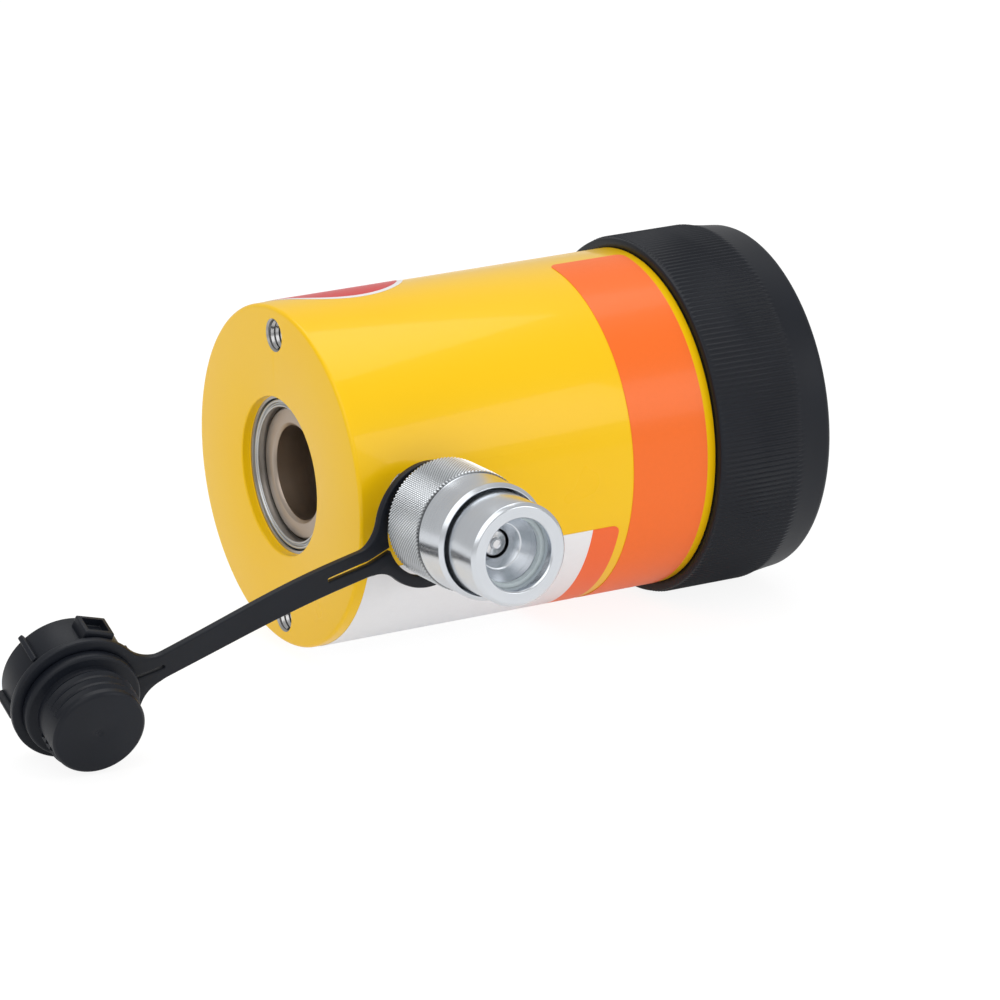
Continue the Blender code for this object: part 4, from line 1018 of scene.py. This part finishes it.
for i in range(61):
    bmesh.ops.bisect_plane(
        bm, geom=bm.verts[:] + bm.edges[:] + bm.faces[:],
        plane_co=((first + (last - first) * i / 60) * MM, 0.0, 0.0), plane_no=(1.0, 0.0, 0.0),
    )
for vert in bm.verts:
    middle, turn = strap_frame(vert.co.x / MM, start_turn, end_turn)
    vert.co = middle * MM + turn @ Vector((0.0, vert.co.y, vert.co.z))
bmesh.ops.recalc_face_normals(bm, faces=bm.faces)
sag = STRAP_RING_HOLE - NECK_RADIUS - SEAT
strap_place = Matrix.Translation(
    base_middle
    + Vector(
        (
            PORT_HEIGHT - sag * math.sin(STRAP_HANG_ANGLE),
            -STRAP_RING_PLACE,
            -sag * math.cos(STRAP_HANG_ANGLE),
        )
    )
    * MM
)
set_down("moulded_strap", bm, strap_place, (black_plastic,), "strap", ["cap_strap"])


# Dust cap. One moulding in the same black plastic: a plug with three interrupted thread ridges, a
# rounded flange, and a cup with two hollow grip lugs and four fins.
PLUG_RADIUS = 13.9
PLUG_REACH = 16.9
CAP_FLANGE_RADIUS = 16.5
CUP_RADIUS = 17.1
CUP_BORE = 15.4
CUP_END = -13.4
LUG_HEIGHT = 2.9
LUG_WIDTH = 9.0
LUG_LENGTH = 8.0
LUG_WALL = 1.3
LUG_ANGLE = math.radians(59.0)
FIN_HEIGHT = 2.0

middle, turn = strap_frame(STRAP_REACH, start_turn, end_turn)
on_cap_axis = strap_place @ Matrix.Translation(middle * MM) @ turn.to_matrix().to_4x4()
bm = turned(
    [
        (0.0, PLUG_REACH - 0.35),
        (0.7, PLUG_REACH - 0.35),
        (1.1, PLUG_REACH),
        (PLUG_RADIUS - 1.5, PLUG_REACH),
        (PLUG_RADIUS - 0.7, PLUG_REACH - 0.8),
        (PLUG_RADIUS - 0.7, 4.6),
        (CAP_FLANGE_RADIUS, 4.6),
        (CAP_FLANGE_RADIUS, 1.4),
        (14.7, 1.4),
        (14.7, -1.4),
        (CUP_RADIUS, -1.4),
        (CUP_RADIUS, CUP_END),
        (CUP_BORE, CUP_END),
        (CUP_BORE, -3.6),
        (11.7, -3.6),
        (11.7, 14.7),
        (0.0, 14.7),
    ],
    144,
    closed=False,
)
round_edges(bm, 1.0, 4, at=(CAP_FLANGE_RADIUS, 4.6))
round_edges(bm, 0.5, 3, at=(CAP_FLANGE_RADIUS, 1.4))
round_edges(bm, 0.5, 3, at=(CUP_RADIUS, CUP_END))
round_edges(bm, 0.25, 2, sharper=40.0)
set_down("screwed_dust_cap", bm, on_cap_axis, (black_plastic,), "cap", ["dust_cap"])


def moulded_block(length, width, height, place, rounding):
    """A block with rounded edges, centred on its place."""
    bm = bmesh.new()
    bmesh.ops.create_cube(bm, size=1.0)
    bmesh.ops.scale(bm, verts=bm.verts, vec=(length * MM, width * MM, height * MM))
    bmesh.ops.bevel(
        bm, geom=bm.edges[:], offset=rounding * MM, segments=3, profile=0.5, affect="EDGES", material=-1
    )
    bmesh.ops.transform(bm, matrix=place, verts=bm.verts)
    return bm


root = (CUP_RADIUS + CUP_BORE) / 2
lug_middle = -1.8 - LUG_LENGTH / 2
for i in range(2):
    side = Matrix.Rotation(math.pi * i + LUG_ANGLE, 4, "Z")
    middle = Matrix.Translation(Vector(((CUP_RADIUS + LUG_HEIGHT + root) / 2, 0.0, lug_middle)) * MM)
    bm = moulded_block(CUP_RADIUS + LUG_HEIGHT - root, LUG_WIDTH, LUG_LENGTH, side @ middle, 0.5)
    lug = set_down(f"cap_lug_{i + 1}", bm, on_cap_axis, (black_plastic,), "cap")
    floor = Matrix.Translation(Vector((CUP_RADIUS + LUG_WALL / 2 + LUG_HEIGHT, 0.0, lug_middle)) * MM)
    bm = moulded_block(
        2 * LUG_HEIGHT, LUG_WIDTH - 2 * LUG_WALL, LUG_LENGTH - 2 * LUG_WALL, on_cap_axis @ side @ floor, 0.4
    )
    cut_away(lug, [bm])
    for way in (1, -1):
        fin_turn = side @ Matrix.Rotation(way * math.radians(60.0), 4, "Z")
        fin_middle = Matrix.Translation(
            Vector(((CUP_RADIUS + FIN_HEIGHT + root) / 2, 0.0, (CUP_END - 1.4) / 2)) * MM
        )
        bm = moulded_block(CUP_RADIUS + FIN_HEIGHT - root, 1.6, 11.2, fin_turn @ fin_middle, 0.4)
        number = 2 * i + (3 + way) // 2
        set_down(f"cap_fin_{number}", bm, on_cap_axis, (black_plastic,), "cap")
for i in range(3):
    for letter, start in (("a", 10.0), ("b", 190.0)):
        bm = thread_ridge(PLUG_RADIUS - 0.7, 0.7, 2.6, 5.6 + 3.1 * i, 3.0, steps=120, turn_share=0.36)
        spun = Matrix.Rotation(math.radians(start), 3, "Z")
        bmesh.ops.rotate(bm, verts=bm.verts, cent=(0, 0, 0), matrix=spun)
        name = f"cap_thread_{i + 1}_{letter}"
        set_down(name, bm, on_cap_axis, (black_plastic,), "cap")


# Stickers. Three printed vinyl labels, blank here, are stuck round the barrel: an orange band beside
# the protector, a white one with an orange heading below it, and a round red one on its back.
STICKER = 0.1
ORANGE = (1.0, 0.17, 0.015)
HEADING = (1.0, 0.155, 0.03)
PAPER = (0.92, 0.92, 0.94)
RED = (0.70, 0.02, 0.02)


def vinyl(name, colour):
    made, tree, inputs = new_finish(
        name, {"IOR": 1.5, "Coat Weight": 0.15, "Coat Roughness": 0.12, "Specular IOR Level": 0.3}
    )
    print_grain = tree.noise(tree.place(), 700.0, 2.0)
    connect(
        tree,
        inputs,
        {
            "Base Color": tree.blend(print_grain, colour, tuple(0.96 * c for c in colour)),
            "Roughness": 0.30 + 0.08 * print_grain,
            "Normal": tree.bumps(print_grain, 0.01 * MM, 0.4),
        },
    )
    return made


def sticker(name, flat, finishes, lift=0.03):
    """Wraps a flat outline round the barrel: X along its axis, Y round it from the coupler's side."""
    grown = bmesh.ops.extrude_face_region(flat, geom=flat.faces[:])
    top = [item for item in grown["geom"] if isinstance(item, bmesh.types.BMVert)]
    bmesh.ops.translate(flat, verts=top, vec=(0.0, 0.0, STICKER * MM))
    low_edge = min(vert.co.y for vert in flat.verts)
    high_edge = max(vert.co.y for vert in flat.verts)
    strips = int((high_edge - low_edge) / (1.2 * MM))
    for i in range(1, strips):
        bmesh.ops.bisect_plane(
            flat, geom=flat.verts[:] + flat.edges[:] + flat.faces[:],
            plane_co=(0.0, low_edge + (high_edge - low_edge) * i / strips, 0.0), plane_no=(0.0, 1.0, 0.0),
        )
    for vert in flat.verts:
        angle = vert.co.y / (BARREL_RADIUS * MM)
        out = (BARREL_RADIUS + lift) * MM + vert.co.z
        vert.co = Vector((vert.co.x, -out * math.cos(angle), out * math.sin(angle)))
    bmesh.ops.recalc_face_normals(flat, faces=flat.faces)
    return set_down(name, flat, Matrix.Translation(base_middle), finishes, "cylinder")


def label(start, end, lower, upper, corner):
    """A flat rectangle from start to end along the axis and lower to upper degrees, corners rounded."""
    turn = math.radians(1.0) * BARREL_RADIUS
    bm = bmesh.new()
    bmesh.ops.create_grid(bm, x_segments=1, y_segments=1, size=0.5)
    bmesh.ops.scale(bm, verts=bm.verts, vec=((end - start) * MM, (upper - lower) * turn * MM, 1.0))
    bmesh.ops.translate(
        bm, verts=bm.verts, vec=((start + end) / 2 * MM, (upper + lower) / 2 * turn * MM, 0.0)
    )
    bmesh.ops.bevel(
        bm, geom=bm.verts[:], offset=corner * MM, segments=8, profile=0.5, affect="VERTICES", material=-1
    )
    return bm


orange_vinyl = vinyl("orange_vinyl", ORANGE)
heading_vinyl = vinyl("heading_vinyl", HEADING)
white_vinyl = vinyl("white_vinyl", PAPER)
red_vinyl = vinyl("red_vinyl", RED)
sticker("orange_sticker", label(87.5, 111.8, -95.0, 87.0, 2.5), (orange_vinyl,))
sheet = label(3.5, 84.4, -100.0, -20.0, 2.5)
bmesh.ops.bisect_plane(
    sheet, geom=sheet.verts[:] + sheet.edges[:] + sheet.faces[:], plane_co=(75.5 * MM, 0.0, 0.0),
    plane_no=(1.0, 0.0, 0.0),
)
for face in sheet.faces:
    face.material_index = 1 if face.calc_center_median().x > 75.5 * MM else 0
sticker("white_sticker", sheet, (white_vinyl, heading_vinyl))
for name, radius, finishes, lift in (
    ("round_sticker_border", 21.4, (white_vinyl,), 0.03),
    ("round_sticker", 19.7, (red_vinyl,), 0.08),
):
    disc = bmesh.new()
    bmesh.ops.create_circle(disc, cap_ends=True, segments=128, radius=radius * MM)
    turn = math.radians(111.4) * BARREL_RADIUS * MM
    bmesh.ops.translate(disc, verts=disc.verts, vec=(27.0 * MM, turn, 0.0))
    sticker(name, disc, finishes, lift)


# Seals, guides and other small pieces keep their own shapes: black rubber rings, a white ring in the
# nozzle's mouth, blue urethane seals, bronze wear rings and valve guide, and the sleeve's steel ring.
def plain(name, dark, light, roughness, metallic=0.0, scale=500.0):
    made, tree, inputs = new_finish(name, {"Metallic": metallic})
    mottle = tree.noise(tree.place(), scale, 3.0)
    connect(
        tree,
        inputs,
        {
            "Base Color": tree.blend(mottle, dark, light),
            "Roughness": roughness + 0.12 * mottle,
            "Normal": tree.bumps(mottle, 0.01 * MM, 0.4),
        },
    )
    return made


rubber = plain("black_rubber", (0.010, 0.010, 0.011), (0.018, 0.018, 0.019), 0.55)
white_seal = plain("white_seal_plastic", (0.58, 0.66, 0.68), (0.68, 0.75, 0.77), 0.35)
urethane = plain("blue_urethane", (0.035, 0.13, 0.36), (0.06, 0.18, 0.46), 0.40)
bronze = plain("bearing_bronze", (0.42, 0.25, 0.10), (0.56, 0.34, 0.15), 0.30, 1.0)
for finish, nodes in (
    (rubber, ("tube_seal", "adapter_seal")),
    (white_seal, ("nozzle_seal",)),
    (urethane, ("piston_outer_seal", "piston_inner_seal", "plunger_wiper")),
    (bronze, ("piston_bearing_ring", "rod_bearing_ring", "poppet_guide")),
    (peened, ("sleeve_ring",)),
):
    for node in nodes:
        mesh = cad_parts[node].data
        mesh.materials.clear()
        mesh.materials.append(finish)


# Studio. The cylinder lies on an endless white sheet under three large soft lamps, in a plain white
# room that the plated metal mirrors.
FLOOR_SIZE = 40.0
LAMP_TARGET = Vector((0.0, 0.0, 0.05))

white_sheet = bpy.data.materials.new("white_sheet")
white_sheet.use_nodes = True
tree = Shade(white_sheet.node_tree)
white_sheet.node_tree.nodes.remove(white_sheet.node_tree.nodes["Principled BSDF"])
matt = tree.node("BsdfDiffuse", {}, {"Color": (0.92, 0.92, 0.92, 1.0)})
glow = tree.node("Emission", {}, {"Color": (1.0, 1.0, 1.0, 1.0), "Strength": 1.12})
camera_ray = tree.node("LightPath", {}, {}, "Is Camera Ray")
mixed = tree.node("MixShader", {}, {0: 0.25 + 0.55 * camera_ray, 1: matt, 2: glow})
white_sheet.node_tree.links.new(
    mixed.socket, white_sheet.node_tree.nodes["Material Output"].inputs["Surface"]
)
bm = bmesh.new()
bmesh.ops.create_grid(bm, x_segments=1, y_segments=1, size=FLOOR_SIZE / 2)
mesh = bpy.data.meshes.new("white_floor")
bm.to_mesh(mesh)
bm.free()
mesh.materials.append(white_sheet)
floor = bpy.data.objects.new("white_floor", mesh)
bpy.context.scene.collection.objects.link(floor)


for name, place, width, height, watts in (
    ("key_lamp", (-0.9, -0.9, 1.3), 1.8, 1.8, 10.5),
    ("top_lamp", (0.2, 0.3, 1.5), 1.4, 1.0, 8.0),
    ("fill_lamp", (0.9, -1.3, 0.7), 0.9, 0.7, 4.0),
):
    light = bpy.data.lights.new(name, "AREA")
    light.shape = "RECTANGLE"
    light.size, light.size_y = width, height
    light.energy = watts
    lamp = bpy.data.objects.new(name, light)
    lamp.location = place
    lamp.rotation_euler = (LAMP_TARGET - Vector(place)).to_track_quat("-Z", "Y").to_euler()
    bpy.context.scene.collection.objects.link(lamp)

world = bpy.data.worlds.new("studio_white")
bpy.context.scene.world = world
world.use_nodes = True
tree = Shade(world.node_tree)
background = world.node_tree.nodes["Background"]
camera_ray = tree.node("LightPath", {}, {}, "Is Camera Ray")
glossy_ray = tree.node("LightPath", {}, {}, "Is Glossy Ray")
strength = 0.50 + 0.50 * camera_ray + 0.08 * glossy_ray
world.node_tree.links.new(strength.socket, background.inputs["Strength"])
background.inputs["Color"].default_value = (1.0, 1.0, 1.0, 1.0)

lens = bpy.data.cameras.new("photo_camera")
lens.sensor_width = 36.0
lens.lens = 223.08
lens.clip_end = 60.0
camera = bpy.data.objects.new("photo_camera", lens)
bpy.context.scene.collection.objects.link(camera)
right = Vector((0.87206507, -0.48883114, -0.02338023))
up = Vector((0.15747358, 0.23505515, 0.95914084))
back = Vector((-0.46336226, -0.84011499, 0.28196138))
camera.matrix_world = Matrix.Translation(
    base_middle + Vector((-0.75847426, -1.50437912, 0.4861913))
) @ Matrix((right, up, back)).transposed().to_4x4()
bpy.context.scene.camera = camera
bpy.context.scene.view_settings.view_transform = "Standard"


bpy.context.view_layer.update()
